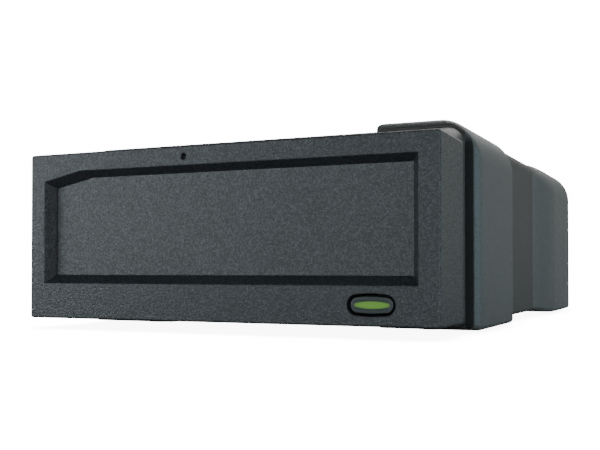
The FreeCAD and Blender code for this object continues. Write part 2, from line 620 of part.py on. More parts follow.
def button_parts():
    """Eject button: cap with side hooks and a shank, its lens, and its return spring."""
    face = FRONT + BUTTON_SINK
    back = face + BUTTON_DEEP
    cap = pill_block(BUTTON_CAP, face, back)
    hooks = pill_block((BUTTON_HOLE[0] + 2 * HOOK_LAP, BUTTON_HOOK), HOOK_Y, HOOK_Y + HOOK_THICK)
    neck = pill_block(BUTTON_NECK, back - INTO, HOOK_Y + HOOK_THICK / 2)
    shank = rod((BUTTON_X, HOOK_Y, BUTTON_Z), (0, 1, 0), BUTTON_SHANK / 2, SHANK_END - HOOK_Y)
    button = fused([cap, neck, hooks, shank]).cut(pill_block(BUTTON_LENS, face - 1, face + LENS_DEEP))
    lens = pill_block(BUTTON_LENS, face + LENS_SINK, face + LENS_DEEP)
    start = HOOK_Y + HOOK_THICK
    spring = coil((BUTTON_X, start, BUTTON_Z), BUTTON_SHANK / 2 + GAP, SWITCH_Y - start, BUTTON_TURNS)
    return button, lens, spring


def ring(centre, axis, bore):
    """One turn of a spring, with a square wire, round a bore of this radius."""
    start = V(*centre) - V(*axis) * (WIRE / 2)
    turn = Part.makeCylinder(bore + WIRE, WIRE, start, V(*axis))
    return turn.cut(Part.makeCylinder(bore, WIRE, start, V(*axis)))


def coil(start, bore, length, turns):
    """Compression spring along Y, as closed turns joined by one bar."""
    x, y, z = start
    step = (length - WIRE) / turns
    rings = [ring((x, y + WIRE / 2 + i * step, z), (0, 1, 0), bore) for i in range(turns + 1)]
    half = WIRE / 2
    bar = block(x + bore, x + bore + WIRE, y + half, y + length - half, z - half, z + half)
    return fused([bar] + rings)


def involute(base, radius):
    """Angle by which an involute has turned at this radius."""
    if radius <= base:
        return 0.0
    return math.tan(math.acos(base / radius)) - math.acos(base / radius)


def gear(teeth, thickness, place, turn):
    """Spur gear with involute flanks; its axis is Z and a tooth points along +X at turn 0."""
    pitch = MODULE * teeth / 2
    base = pitch * math.cos(PRESSURE)
    half = math.pi / (2 * teeth) - BACKLASH / 4 / pitch + involute(base, pitch)
    radii = (pitch - 1.25 * MODULE, pitch, pitch + MODULE)
    flank = [(r, half - involute(base, r)) for r in radii]
    points = []
    for i in range(teeth):
        middle = turn + 2 * math.pi * i / teeth
        for r, a in flank:
            points.append(V(r * math.cos(middle - a), r * math.sin(middle - a), 0))
        for r, a in reversed(flank):
            points.append(V(r * math.cos(middle + a), r * math.sin(middle + a), 0))
    body = Part.Face(Part.makePolygon(points + points[:1])).extrude(V(0, 0, thickness))
    body.translate(V(*place))
    return body


def rack(y0, y1, mesh_y):
    """Rack teeth that point to -X, with a tooth space centred on mesh_y."""
    step = math.pi * MODULE
    lean = math.tan(PRESSURE)
    half = step / 4 - BACKLASH / 4
    inner, outer = half + 1.25 * MODULE * lean, half - MODULE * lean
    root, tip = SLIDER_X + 1.25 * MODULE, SLIDER_X - MODULE
    y = mesh_y + step / 2 - step * math.floor((mesh_y + step / 2 - inner - y0) / step)
    teeth = []
    while y + inner <= y1:
        outline = [V(root, y - inner, GEAR_HIGH), V(tip, y - outer, GEAR_HIGH),
                   V(tip, y + outer, GEAR_HIGH), V(root, y + inner, GEAR_HIGH)]
        teeth.append(Part.Face(Part.makePolygon(outline + outline[:1])).extrude(V(0, 0, GEAR_THICK)))
        y += step
    return teeth


def beside(place, distance, bearing):
    """Place at a distance and bearing from another."""
    return (place[0] + distance * math.cos(bearing), place[1] + distance * math.sin(bearing))


def gear_places():
    """Axes of the output gear, the idler and the motor, and the bearings between them."""
    to_idler = math.pi - math.radians(IDLER_BEARING)
    to_motor = math.radians(MOTOR_BEARING)
    idler = beside(OUTPUT_AXIS, MODULE * (WHEEL_TEETH + IDLER_SMALL) / 2, to_idler)
    motor = beside(idler, MODULE * (IDLER_WHEEL + PINION_TEETH) / 2, to_motor)
    return OUTPUT_AXIS, idler, motor, to_idler, to_motor


def meshed(bearing, teeth, other_teeth, other_turn):
    """Turn at which a gear meshes with another that stands at a bearing from it."""
    return bearing + math.pi + math.pi / teeth - other_teeth / teeth * (other_turn - bearing)


def compound_gear(place, low_teeth, low_turn, high_teeth, high_turn):
    """Two gears in one moulding, on a hub with a bore for its stud."""
    x, y = place
    low = gear(low_teeth, GEAR_THICK, (x, y, GEAR_LOW), low_turn)
    high = gear(high_teeth, GEAR_THICK, (x, y, GEAR_HIGH), high_turn)
    tall = GEAR_HIGH + GEAR_THICK - GEAR_LOW
    hub = rod((x, y, GEAR_LOW), (0, 0, 1), STUD / 2 + GEAR_HUB, tall)
    return fused([low, high, hub]).cut(rod((x, y, GEAR_LOW - 1), (0, 0, 1), STUD / 2 + FIT / 2, tall + 2))


def gear_train():
    """Eject slider with its rack, the two reduction gears, the motor pinion and their studs."""
    output_at, idler_at, motor_at, to_idler, to_motor = gear_places()
    idler_turn = meshed(to_idler, IDLER_SMALL, WHEEL_TEETH, 0.0)
    output = compound_gear(output_at, WHEEL_TEETH, 0.0, SMALL_TEETH, 0.0)
    idler = compound_gear(idler_at, IDLER_SMALL, idler_turn, IDLER_WHEEL, 0.0)
    x, y = motor_at
    shaft = rod((x, y, GEAR_HIGH), (0, 0, 1), MOTOR_SHAFT / 2, TRAY_TOP - GEAR_HIGH + MOTOR_SHAFT_IN)
    pinion_turn = meshed(to_motor, PINION_TEETH, IDLER_WHEEL, 0.0)
    pinion = fused([gear(PINION_TEETH, GEAR_THICK, (x, y, GEAR_HIGH), pinion_turn), shaft])
    radius, height = MOTOR[0] / 2, MOTOR[1]
    motor = fused([rod((x, y, TRAY_TOP), (0, 0, 1), radius, height),
                   rod((x, y, TRAY_TOP + height - FIT), (0, 0, 1), MOTOR_END[0], MOTOR_END[1] + FIT)])
    motor = motor.cut(rod((x, y, TRAY_TOP - 1), (0, 0, 1), MOTOR_SHAFT / 2 + FIT, 1 + MOTOR_SHAFT_IN + INTO))
    studs = []
    for x, y in (output_at, idler_at):
        stem = rod((x, y, GEAR_LOW - FIT), (0, 0, 1), STUD / 2, TRAY_TOP - GEAR_LOW)
        clip = rod((x, y, GEAR_LOW - FIT - CLIP[1]), (0, 0, 1), STUD / 2 + CLIP[0], CLIP[1])
        studs.append(fused([stem, clip]))
    return {"eject_slider": eject_slider(), "output_gear": output, "reduction_gear": idler,
            "motor_pinion": pinion, "gear_studs": Part.makeCompound(studs), "eject_motor": motor}


def eject_slider():
    """Rack bar under the tray, with the post that pushes the cartridge out."""
    mesh = OUTPUT_AXIS[1]
    y0, y1 = mesh - SLIDER_END, mesh + SLIDER_TRAVEL + SLIDER_END
    x0, x1 = SLIDER_BAR, SLIDER_BAR + SLIDER_WIDTH
    bar = block(x0, x1, y0, y1, GEAR_HIGH, GEAR_HIGH + GEAR_THICK)
    depth, tall = SLIDER_POST
    post = block(x0, x1, BAY_REAR + GAP, BAY_REAR + GAP + depth, GEAR_HIGH, BAY_BOTTOM + tall)
    return fused([bar, post] + rack(y0, y1, mesh))


def chassis_tray():
    """Folded steel tray under and beside the cartridge bay, reaching back under the eject motor."""
    output_at, idler_at, motor_at = gear_places()[:3]
    y0, y1 = CHASSIS_Y, BACKPLANE_Y + PCB + 1.0
    parts = [block(-TRAY_HALF, TRAY_HALF, y0, y1, TRAY_BOTTOM, TRAY_TOP),
             block(-TRAY_HALF, SLIDER_X + 2 * SLIDER_WIDTH, y1 - 1, motor_at[1] + MOTOR[0] / 2 + 2, TRAY_BOTTOM, TRAY_TOP)]
    bay_length = BACKPLANE_Y - y0
    under, over = WINDOW_EDGES
    for side in (-1, 1):
        x0, x1 = span_x(side * TRAY_HALF, -side, SHEET)
        wall = block(x0, x1, y0, BACKPLANE_Y, TRAY_TOP - SHEET / 2, LID_BOTTOM)
        for i in range(WINDOWS):
            start = y0 + bay_length * i / WINDOWS + WINDOW_WEB / 2
            end = y0 + bay_length * (i + 1) / WINDOWS - WINDOW_WEB / 2
            wall = wall.cut(block(x0 - 1, x1 + 1, start, end, TRAY_TOP + under, LID_BOTTOM - over))
        parts.append(wall)
    tray = fused(parts)
    depth = SLIDER_POST[0]
    tray = tray.cut(block(SLIDER_BAR - GAP, SLIDER_BAR + SLIDER_WIDTH + GAP, BAY_REAR - SLIDER_TRAVEL - GAP,
                          BAY_REAR + depth + 3 * GAP, TRAY_BOTTOM - 1, TRAY_TOP + 1))
    holes = [(motor_at, MOTOR_SHAFT), (output_at, STUD / 2), (idler_at, STUD / 2)]
    holes += [(place, SCREW / 2) for place in both_sides(CHASSIS_SCREWS)]
    for (x, y), radius in holes:
        tray = tray.cut(rod((x, y, TRAY_BOTTOM - 1), (0, 0, 1), radius, SHEET + 2))
    return tray


def chassis_lid():
    """Steel lid over the bay, with the vents, the hook's window and two saddles for the release rod."""
    lid = block(-TRAY_HALF, TRAY_HALF, CHASSIS_Y, BACKPLANE_Y, LID_BOTTOM, LID_TOP)
    px, py = LEVER_PIVOT
    tip = px + LEVER_REACH
    swing = (LEVER_REACH + HOOK[0] / 2) * RELEASE_TRAVEL / LEVER_ARM
    lid = lid.cut(block(tip - HOOK[0], tip + HOOK[0] / 2 + GAP, py - swing - HOOK_ROOM, py + HOOK_ROOM,
                        LID_BOTTOM - 1, LID_TOP + 1))
    half = TRAY_HALF - LID_VENT_INSET
    width, pitch, last = LID_VENT
    for i in range(LID_VENTS):
        y = BAY_REAR - last - pitch * i
        lid = lid.cut(block(-half, half, y - width / 2, y + width / 2, LID_BOTTOM - 1, LID_TOP + 1))
    wide, thick = SADDLE
    saddles = [block(PIN_X - wide / 2, PIN_X + wide / 2, y - thick / 2, y + thick / 2, LID_TOP - SHEET / 2,
                     PIN_Z + ROD / 2 + 1) for y in SADDLES]
    lid = fused([lid] + saddles)
    return lid.cut(rod((PIN_X, SADDLES[0] - 2, PIN_Z), (0, 1, 0), ROD / 2 + FIT, SADDLES[1] - SADDLES[0] + 4))


def guide(side):
    """Channel that carries one edge of the cartridge, with a lead-in at the front."""
    y0, y1 = CHASSIS_Y + INTO, BAY_REAR
    inner, outer = BAY_HALF - RAIL_REACH, TRAY_HALF - SHEET - FIT / 2
    body = block(inner, outer, y0, y1, TRAY_TOP, LID_BOTTOM - FIT / 2)
    body = body.cut(block(inner - 1, BAY_HALF, y0 - 1, y1 + 1, BAY_BOTTOM, BAY_TOP))
    wide, deep = GUIDE_LEAD
    corner = V(BAY_HALF - FIT, y0 - FIT, BAY_BOTTOM - RAIL)
    lead = [corner, corner + V(wide + FIT, 0, 0), corner + V(0, deep + FIT, 0), corner]
    body = body.cut(Part.Face(Part.makePolygon(lead)).extrude(V(0, 0, BAY_HEIGHT + 2 * RAIL)))
    return body if side > 0 else mirrored(body)


def boards():
    """Main board, backplane and the small board behind the button, with what they carry."""
    main = fused([block(-BOARD_HALF, BOARD_HALF, BOARD_FRONT, BOARD_REAR, BOARD_BOTTOM, BOARD_TOP),
                  block(-BOARD_HALF, FAN_X - FAN / 2 - FAN_CORNER, BOARD_REAR - 1, CORE_END - BOARD_END,
                        BOARD_BOTTOM, BOARD_TOP)])
    for x, y in both_sides(BOARD_SCREWS):
        main = main.cut(rod((x, y, BOARD_BOTTOM - 1), (0, 0, 1), SCREW / 2 + FIT, PCB + 2))
    half = BAY_HALF - BACKPLANE_INSET
    back = block(-half, half, BACKPLANE_Y, BACKPLANE_Y + PCB, TRAY_TOP, LID_BOTTOM - 1)
    wide, under, over = BUTTON_BOARD
    front = block(BUTTON_X - wide / 2, BUTTON_X + wide / 2, BUTTON_BOARD_Y, BUTTON_BOARD_Y + PCB,
                  BUTTON_Z - under, BUTTON_Z + over)
    half = SWITCH[0] / 2
    switch = block(BUTTON_X - half, BUTTON_X + half, SWITCH_Y, BUTTON_BOARD_Y, BUTTON_Z - under, BUTTON_Z + half)
    plunger = rod((BUTTON_X, SWITCH_Y + INTO, BUTTON_Z), (0, -1, 0), PLUNGER, INTO + SWITCH_PLUNGER)
    size, tall, dome, reach = LED
    x, z = BUTTON_X + LED_AT[0], BUTTON_Z + LED_AT[1]
    led = block(x - size / 2, x + size / 2, BUTTON_BOARD_Y - tall, BUTTON_BOARD_Y, z - size / 2, z + size / 2)
    lamp = rod((x, BUTTON_BOARD_Y - tall + FIT, z), (0, -1, 0), dome, reach + FIT)
    chips = []
    for edge, x, y, wide, deep, tall in CHIPS:
        x0, y0 = edge * BOARD_HALF + x, BOARD_FRONT + y
        chips.append(block(x0, x0 + wide, y0, y0 + deep, BOARD_TOP, BOARD_TOP + tall))
    return {"main_board": main, "backplane": back, "button_board": front, "tact_switch": fused([switch, plunger]),
            "status_led": fused([led, lamp]), "docking_connector": docking_connector(),
            "heat_sink": heat_sink(), "board_chips": Part.makeCompound(chips)}


def docking_connector():
    """Plug on the backplane with its data blade and its power blade, each with a key at one end."""
    wide, tall, lift = PLUG
    thick, reach, up = BLADE
    y0, z0 = BAY_REAR + GAP, BAY_BOTTOM + lift
    parts = [block(-wide / 2, wide / 2, y0, BACKPLANE_Y, z0, z0 + tall)]
    for (x0, x1), key in zip(BLADES, (BLADES[0][0], BLADES[1][1] - thick)):
        parts.append(block(x0, x1, y0 - reach, y0 + INTO, z0 + up, z0 + up + thick))
        parts.append(block(key, key + thick, y0 - reach, y0 + INTO, z0 + up, z0 + up + BLADE_KEY))
    return fused(parts)


def heat_sink():
    """Finned block on the bridge chip, in front of the fan."""
    wide, deep, tall = SINK
    x0, y0 = FAN_X - SINK_FROM_FAN, BACKPLANE_Y + SINK_BEHIND
    parts = [block(x0, x0 + wide, y0, y0 + deep, BOARD_TOP, BOARD_TOP + SINK_BASE)]
    fin = SINK_BASE / 2
    for i in range(SINK_FINS):
        x = x0 + (wide - fin) * i / (SINK_FINS - 1)
        parts.append(block(x, x + fin, y0, y0 + deep, BOARD_TOP + fin, BOARD_TOP + tall))
    return fused(parts)


def usb_socket():
    """Square data socket on the main board's rear edge, with its contact tongue."""
    wide, tall, deep = USB
    y1 = CORE_END + SOCKET_PROUD
    body = block(USB_X - wide / 2, USB_X + wide / 2, y1 - deep, y1, BOARD_TOP, BOARD_TOP + tall)
    half, low, high, run, drop, inside = USB_MOUTH
    mouth = [(-half, low), (half, low), (half, high - drop), (half - run, high), (run - half, high), (-half, high - drop)]
    hole = polygon_xz([(USB_X + x, BOARD_TOP + z) for x, z in mouth], y1 - inside)
    body = body.cut(along_y(hole, y1 - inside, y1 + 1))
    half, low, high = USB_TONGUE
    tongue = block(USB_X - half, USB_X + half, y1 - inside - INTO, y1 - 1, BOARD_TOP + low, BOARD_TOP + high)
    return fused([body, tongue])


def dc_jack():
    """Round power jack beside it, with its centre pin."""
    wide, tall, deep = JACK
    y1, z = CORE_END + SOCKET_PROUD, BOARD_TOP + tall / 2
    body = block(JACK_X - wide / 2, JACK_X + wide / 2, y1 - deep, y1, BOARD_TOP, BOARD_TOP + tall)
    body = body.cut(rod((JACK_X, y1 + 1, z), (0, -1, 0), JACK_BORE / 2, JACK_DEEP + 1))
    pin = rod((JACK_X, y1 - JACK_DEEP - INTO, z), (0, 1, 0), JACK_PIN / 2, JACK_DEEP + INTO - 1)
    return fused([body, pin])


def rear_panel():
    """Back plate with the fan grille, the socket windows and the lock slot, and its tongue."""
    def outline(y, inset):
        return rounded(y, CORE_HALF - PANEL_INSET - inset, CORE_BOTTOM + inset, CORE_TOP - PANEL_INSET - inset,
                       CORE_CORNER - inset, CORE_EDGE)
    edge = REAR - PANEL_EDGE
    plate = Part.makeLoft([outline(PANEL_Y, 0.0), outline(edge, 0.0)], True, True)
    plate = plate.fuse(Part.makeLoft([outline(edge, 0.0), outline(REAR, PANEL_EDGE)], True, True))

    def tongue(inset, corner, y0, y1):
        wire = rounded(y0, INNER_HALF - FIT - inset, PLATE_TOP + FIT + inset, INNER_TOP - FIT - inset, corner, PANEL_EDGE)
        return along_y(wire, y0, y1)
    start = CORE_END - TONGUE
    corner = INNER_CORNER - FIT
    plate = plate.fuse(tongue(0.0, corner, start, PANEL_Y + INTO).cut(
        tongue(TONGUE_WALL, corner / 2, start - 1, PANEL_Y)))
    plate = plate.cut(fan_grille())
    for x, (wide, tall, _) in ((USB_X, USB), (JACK_X, JACK)):
        half = wide / 2 + SOCKET_ROOM
        plate = plate.cut(block(x - half, x + half, PANEL_Y - 1, REAR + 1, BOARD_TOP - SOCKET_ROOM,
                                BOARD_TOP + tall + SOCKET_ROOM))
    half, tall = LOCK[0] / 2, LOCK[1] / 2
    lock = block(LOCK_X - half, LOCK_X + half, PANEL_Y - 1, REAR + 1, LOCK_Z - tall, LOCK_Z + tall)
    return plate.cut(lock).removeSplitter()


def fan_grille():
    """Ring slots in front of the fan, left whole along two crossed spokes."""
    slots = []
    for i in range(GRILLE_SLOTS):
        r = GRILLE_FIRST + i * GRILLE_STEP
        outer = rod((FAN_X, PANEL_Y - 1, FAN_Z), (0, 1, 0), r + GRILLE_HALF, REAR_PLATE + 2)
        slots.append(outer.cut(rod((FAN_X, PANEL_Y - 2, FAN_Z), (0, 1, 0), r - GRILLE_HALF, REAR_PLATE + 4)))
    grille = slots[0].fuse(slots[1:])
    for angle in (45, 135):
        spoke = block(-FAN, FAN, PANEL_Y - 2, REAR + 2, -SPOKE_HALF, SPOKE_HALF)
        spoke.rotate(V(0, 0, 0), V(0, 1, 0), angle)
        spoke.translate(V(FAN_X, 0, FAN_Z))
        grille = grille.cut(spoke)
    return grille


def fan_frame():
    """Square fan frame with four struts that carry the motor plate."""
    y0, y1 = FAN_FRONT, FAN_FRONT + FAN_DEPTH
    half = FAN / 2
    frame = block(FAN_X - half, FAN_X + half, y0, y1, FAN_Z - half, FAN_Z + half)
    along = [e for e in frame.Edges if abs(e.Vertexes[0].Point.y - e.Vertexes[-1].Point.y) > 1]
    frame = frame.makeFillet(FAN_CORNER, along)
    frame = frame.cut(rod((FAN_X, y0 - 1, FAN_Z), (0, 1, 0), FAN_BORE / 2, FAN_DEPTH + 2))
    parts = [frame, rod((FAN_X, y1 - FAN_BACK, FAN_Z), (0, 1, 0), FAN_HUB / 2, FAN_BACK)]
    for i in range(FAN_STRUTS):
        arm = block(0, FAN_BORE / 2 + INTO, y1 - FAN_BACK, y1, -SPOKE_HALF, SPOKE_HALF)
        arm.rotate(V(0, 0, 0), V(0, 1, 0), 360.0 * (i + 0.5) / FAN_STRUTS)
        arm.translate(V(FAN_X, 0, FAN_Z))
        parts.append(arm)
    frame = fused(parts).cut(rod((FAN_X, y1 - 2 * FAN_BACK, FAN_Z), (0, 1, 0), FAN_BUSH[0] / 2, 3 * FAN_BACK))
    inset, radius = FAN_SCREW
    for dx in (inset - half, half - inset):
        for dz in (inset - half, half - inset):
            frame = frame.cut(rod((FAN_X + dx, y0 - 1, FAN_Z + dz), (0, 1, 0), radius, FAN_DEPTH + 2))
    return frame


def fan_bush():
    """Bearing bush in the fan's motor plate."""
    y1 = FAN_FRONT + FAN_DEPTH
    width, length = FAN_BUSH
    bush = rod((FAN_X, y1 - length, FAN_Z), (0, 1, 0), width / 2, length)
    return bush.cut(rod((FAN_X, y1 - length - 1, FAN_Z), (0, 1, 0), FAN_SHAFT / 2 + FIT / 3, length + 2))


def fan_rotor():
    """Rotor cup on its shaft, with twisted blades that widen outwards."""
    y0 = FAN_FRONT + FAN_FACE
    y1 = FAN_FRONT + FAN_DEPTH - FAN_BACK - GAP
    hub = rod((FAN_X, y0, FAN_Z), (0, 1, 0), FAN_HUB / 2, y1 - y0)
    hub = hub.cut(rod((FAN_X, y0 + FAN_BACK, FAN_Z), (0, 1, 0), FAN_HUB / 2 - FAN_HUB_WALL, FAN_DEPTH))
    rotor = [hub, rod((FAN_X, y0 + INTO, FAN_Z), (0, 1, 0), FAN_SHAFT / 2, FAN_DEPTH - 2 * FAN_FACE - FIT)]
    middle, root, tip = (y0 + y1) / 2, FAN_HUB / 2 - BLADE_TIP, FAN_BORE / 2 - BLADE_TIP
    nose, tail = BLADE_THICK
    for i in range(FAN_BLADES):
        sections = []
        for share, lean in BLADE_LEAN:
            r = root + share * (tip - root)
            c, s = math.cos(math.radians(lean)), math.sin(math.radians(lean))
            half = BLADE_FILL * (y1 - y0) / c / 2
            corners = [(-half, -nose / 2), (half, -tail / 2), (half, tail / 2), (-half, nose / 2)]
            points = [V(r, middle + u * c - v * s, u * s + v * c) for u, v in corners]
            sections.append(Part.makePolygon(points + points[:1]))
        blade = Part.makeLoft(sections, True, True)
        blade.rotate(V(0, 0, 0), V(0, 1, 0), 360.0 * i / FAN_BLADES)
        blade.translate(V(FAN_X, 0, FAN_Z))
        rotor.append(blade)
    return fused(rotor)


def release_parts():
    """Emergency release rod with its collar, and the spring round it."""
    start = FRONT + BEZEL_FACE + GAP + FIT
    collar = SADDLES[0] + SADDLE[1]
    bar = fused([rod((PIN_X, start, PIN_Z), (0, 1, 0), ROD / 2, ROD_END - start),
                 rod((PIN_X, collar, PIN_Z), (0, 1, 0), ROD_COLLAR / 2, COLLAR_THICK)])
    first = collar + COLLAR_THICK
    return bar, coil((PIN_X, first, PIN_Z), ROD / 2 + FIT, SADDLES[1] - SADDLE[1] / 2 - first, ROD_TURNS)


def latch_lever():
    """Lever on the lid: a pad for the rod at one end and a hook for the cartridge at the other."""
    px, py = LEVER_PIVOT
    z0, z1 = LEVER_Z, LEVER_Z + LEVER_THICK
    tip = px + LEVER_REACH
    half = SADDLE[0] / 2
    front = ROD_END + GAP
    parts = [block(PIN_X - half, tip + HOOK[0] / 2, py - LEVER_HALF, py + LEVER_HALF, z0, z1),
             rod((px, py, z0), (0, 0, 1), LEVER_BOSS, LEVER_THICK),
             block(PIN_X - half, PIN_X + half, front, py, z0, z1),
             block(PIN_X - LEVER_HALF, PIN_X + LEVER_HALF, front, front + LEVER_PAD, z0, PIN_Z + LEVER_PAD),
             block(tip - HOOK[0] / 2, tip + HOOK[0] / 2, py - HOOK[1] / 2, py + HOOK[1] / 2, BAY_TOP - HOOK_DIP,
                   z0 + LEVER_THICK / 2)]
    return fused(parts).cut(rod((px, py, z0 - 1), (0, 0, 1), STUD / 2 + FIT / 2, LEVER_THICK + 2))


def latch_pivot():
    """Headed pin on the lid that the lever turns on."""
    px, py = LEVER_PIVOT
    top = LEVER_Z + LEVER_THICK + 4 * WIRE
    return fused([rod((px, py, LID_TOP), (0, 0, 1), STUD / 2, top - LID_TOP),
                  rod((px, py, top), (0, 0, 1), STUD / 2 + CLIP[0], CLIP[0])])


def latch_spring():
    """Hair spring round the pivot, with one leg towards the bay's rear."""
    px, py = LEVER_PIVOT
    bore = STUD / 2 + GAP
    low = LEVER_Z + LEVER_THICK + GAP
    coils = [ring((px, py, low + WIRE * (i + 0.5)), (0, 0, 1), bore) for i in range(2)]
    return fused(coils + [block(px + bore, px + bore + WIRE, py, py + HAIR_LEG, low, low + WIRE)])


def door_spring():
    """Torsion spring on the left door pin, beside the knuckle."""
    x = -FLAP_HALF + EAR_WIDTH + INTO
    bore = HINGE_PIN / 2 + FIT
    pitch = 1.3 * WIRE
    coils = [ring((x + pitch * i, HINGE_Y, HINGE_Z), (1, 0, 0), bore) for i in range(DOOR_SPRING_TURNS + 1)]
    bar = block(x, x + DOOR_SPRING_TURNS * pitch, HINGE_Y - WIRE / 2, HINGE_Y + WIRE / 2,
                HINGE_Z + bore, HINGE_Z + bore + WIRE)
    return fused([bar] + coils)


def screw(x, y, z_head, up, length, radius):
    """Countersunk screw that points up or down, from the face of its head."""
    height = SCREW_HEAD[1]
    cone = Part.makeCone(radius, SCREW / 2, height, V(x, y, z_head), V(0, 0, up))
    return fused([cone, rod((x, y, z_head + up * (height - FIT)), (0, 0, up), SCREW / 2, length)])


def screws():
    """The screws that hold the chassis from below, and those that hold the main board."""
    height = SCREW_HEAD[1]
    base = [screw(x, y, CORE_BOTTOM, 1, TRAY_TOP - CORE_BOTTOM - height, SCREW_HEAD[0])
            for x, y in both_sides(CHASSIS_SCREWS)]
    board = [screw(x, y, BOARD_TOP + height, -1, PCB + BOARD_LIFT + FIT, BOARD_HEAD)
             for x, y in both_sides(BOARD_SCREWS)]
    return Part.makeCompound(base), Part.makeCompound(board)


def rubber_feet():
    """Four rubber feet with a bevelled rim."""
    pads = []
    for x, y in both_sides(FEET):
        pad = rod((x, y, 0), (0, 0, 1), FOOT / 2, FOOT_STAND + FOOT_DEEP)
        low = [e for e in pad.Edges if all(abs(v.Point.z) < 1e-6 for v in e.Vertexes)]
        pads.append(pad.makeChamfer(FOOT_BEVEL, low))
    return Part.makeCompound(pads)


def write(shapes):
    """One STEP file for each named piece."""
    os.makedirs("parts", exist_ok=True)
    for name, shape in shapes.items():
        shape.exportStep("parts/%s.step" % name)


def main():
    all_guards = guards()
    button, lens, button_spring = button_parts()
    bar, rod_spring = release_parts()
    base_screws, board_screws = screws()
    shapes = gear_train()
    shapes.update(boards())
    shapes.update({
        "housing_cover": housing_cover(all_guards), "base_plate": base_plate(all_guards),
        "rear_panel": rear_panel(), "front_bezel": front_bezel(), "rubber_feet": rubber_feet(),
        "door_flap": door_flap(), "door_pins": door_pins(), "door_spring": door_spring(),
        "eject_button": button, "button_lens": lens, "button_spring": button_spring,
        "chassis_tray": chassis_tray(), "chassis_lid": chassis_lid(),
        "guide_left": guide(-1), "guide_right": guide(1),
        "usb_socket": usb_socket(), "dc_jack": dc_jack(),
        "fan_frame": fan_frame(), "fan_bush": fan_bush(), "fan_rotor": fan_rotor(),
        "release_rod": bar, "rod_spring": rod_spring, "latch_lever": latch_lever(),
        "latch_pivot": latch_pivot(), "latch_spring": latch_spring(),
        "base_screws": base_screws, "board_screws": board_screws,
    })
    write(shapes)


main()
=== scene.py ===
# %% [markdown]
# # A removable disk dock in charcoal plastic
#
# The frame gives every rigid piece at its real size and place. This script dresses it: each
# piece gets a finish worked out from nodes, and the shapes that a solid model keeps plain,
# such as wound springs, are worked out with numpy. Read it from the top: camera, light,
# finishes, then the pieces.

# %% Frame
import bpy
import json
import math
import numpy as np
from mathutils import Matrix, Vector


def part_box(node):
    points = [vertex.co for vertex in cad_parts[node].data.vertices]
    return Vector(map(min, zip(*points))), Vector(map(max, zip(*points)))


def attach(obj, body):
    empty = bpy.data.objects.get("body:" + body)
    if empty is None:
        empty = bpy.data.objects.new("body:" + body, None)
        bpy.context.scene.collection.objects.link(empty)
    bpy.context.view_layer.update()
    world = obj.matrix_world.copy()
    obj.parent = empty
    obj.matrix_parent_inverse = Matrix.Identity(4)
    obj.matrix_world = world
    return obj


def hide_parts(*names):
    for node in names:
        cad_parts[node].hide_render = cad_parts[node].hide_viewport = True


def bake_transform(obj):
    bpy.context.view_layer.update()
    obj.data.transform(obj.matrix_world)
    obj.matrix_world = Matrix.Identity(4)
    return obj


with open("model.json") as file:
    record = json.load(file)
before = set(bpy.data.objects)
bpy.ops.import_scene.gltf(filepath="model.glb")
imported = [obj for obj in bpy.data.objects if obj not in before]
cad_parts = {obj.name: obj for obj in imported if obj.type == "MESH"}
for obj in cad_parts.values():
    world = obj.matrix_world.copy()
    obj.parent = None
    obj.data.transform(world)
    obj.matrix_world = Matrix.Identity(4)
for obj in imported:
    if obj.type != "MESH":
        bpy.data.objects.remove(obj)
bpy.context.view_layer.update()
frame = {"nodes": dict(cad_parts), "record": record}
MM = 0.001
SLOT_OF = {part["node"]: part["material_slot"] for part in frame["record"]["subparts"]}

# %% [markdown]
# ## Camera
#
# The photograph was taken from the front right, about 5 cm outside the dock's right edge and
# a little below its middle, so the front face recedes to the left and the side is seen at a
# grazing angle. A longer lens from further off would frame the dock as well, but the strong
# perspective comes from the distance and not from the lens. So the camera keeps the real
# distance, about 18 cm in front of the face.

# %% Camera
CAMERA_AT = Vector((104.2, -267.4, 14.84)) * MM
CAMERA_TURN = math.radians(24.63)        # from straight ahead towards the left
CAMERA_TILT = math.radians(0.985)        # upwards
FOCAL_PX = 902.6                         # focal length in the photograph's pixels
FRAME_W, FRAME_H = 600, 450
AXIS_ROW = 254.1                         # row of the photograph that the lens points at
SENSOR_W = 36.0                          # millimetres
NEAREST, FARTHEST = 0.01, 20.0           # metres between which the camera sees

camera = bpy.data.objects.new("camera", bpy.data.cameras.new("camera"))
bpy.context.scene.collection.objects.link(camera)
camera.data.sensor_width = SENSOR_W
camera.data.lens = SENSOR_W * FOCAL_PX / FRAME_W
camera.data.shift_y = (AXIS_ROW - FRAME_H / 2) / FRAME_W
camera.location = CAMERA_AT
camera.rotation_euler = (math.pi / 2 + CAMERA_TILT, 0.0, CAMERA_TURN)
camera.data.clip_start, camera.data.clip_end = NEAREST, FARTHEST
bpy.context.scene.camera = camera
print("lens %.2f mm, shift %.4f" % (camera.data.lens, camera.data.shift_y))


# %% [markdown]
# ## Shader maths as expressions
#
# A finish is a small calculation: a noise here, a threshold there, a mix of the two. Written
# as node calls it takes pages. One class wraps a node's output and overloads the operators,
# so the calculation reads like arithmetic and still becomes nodes.

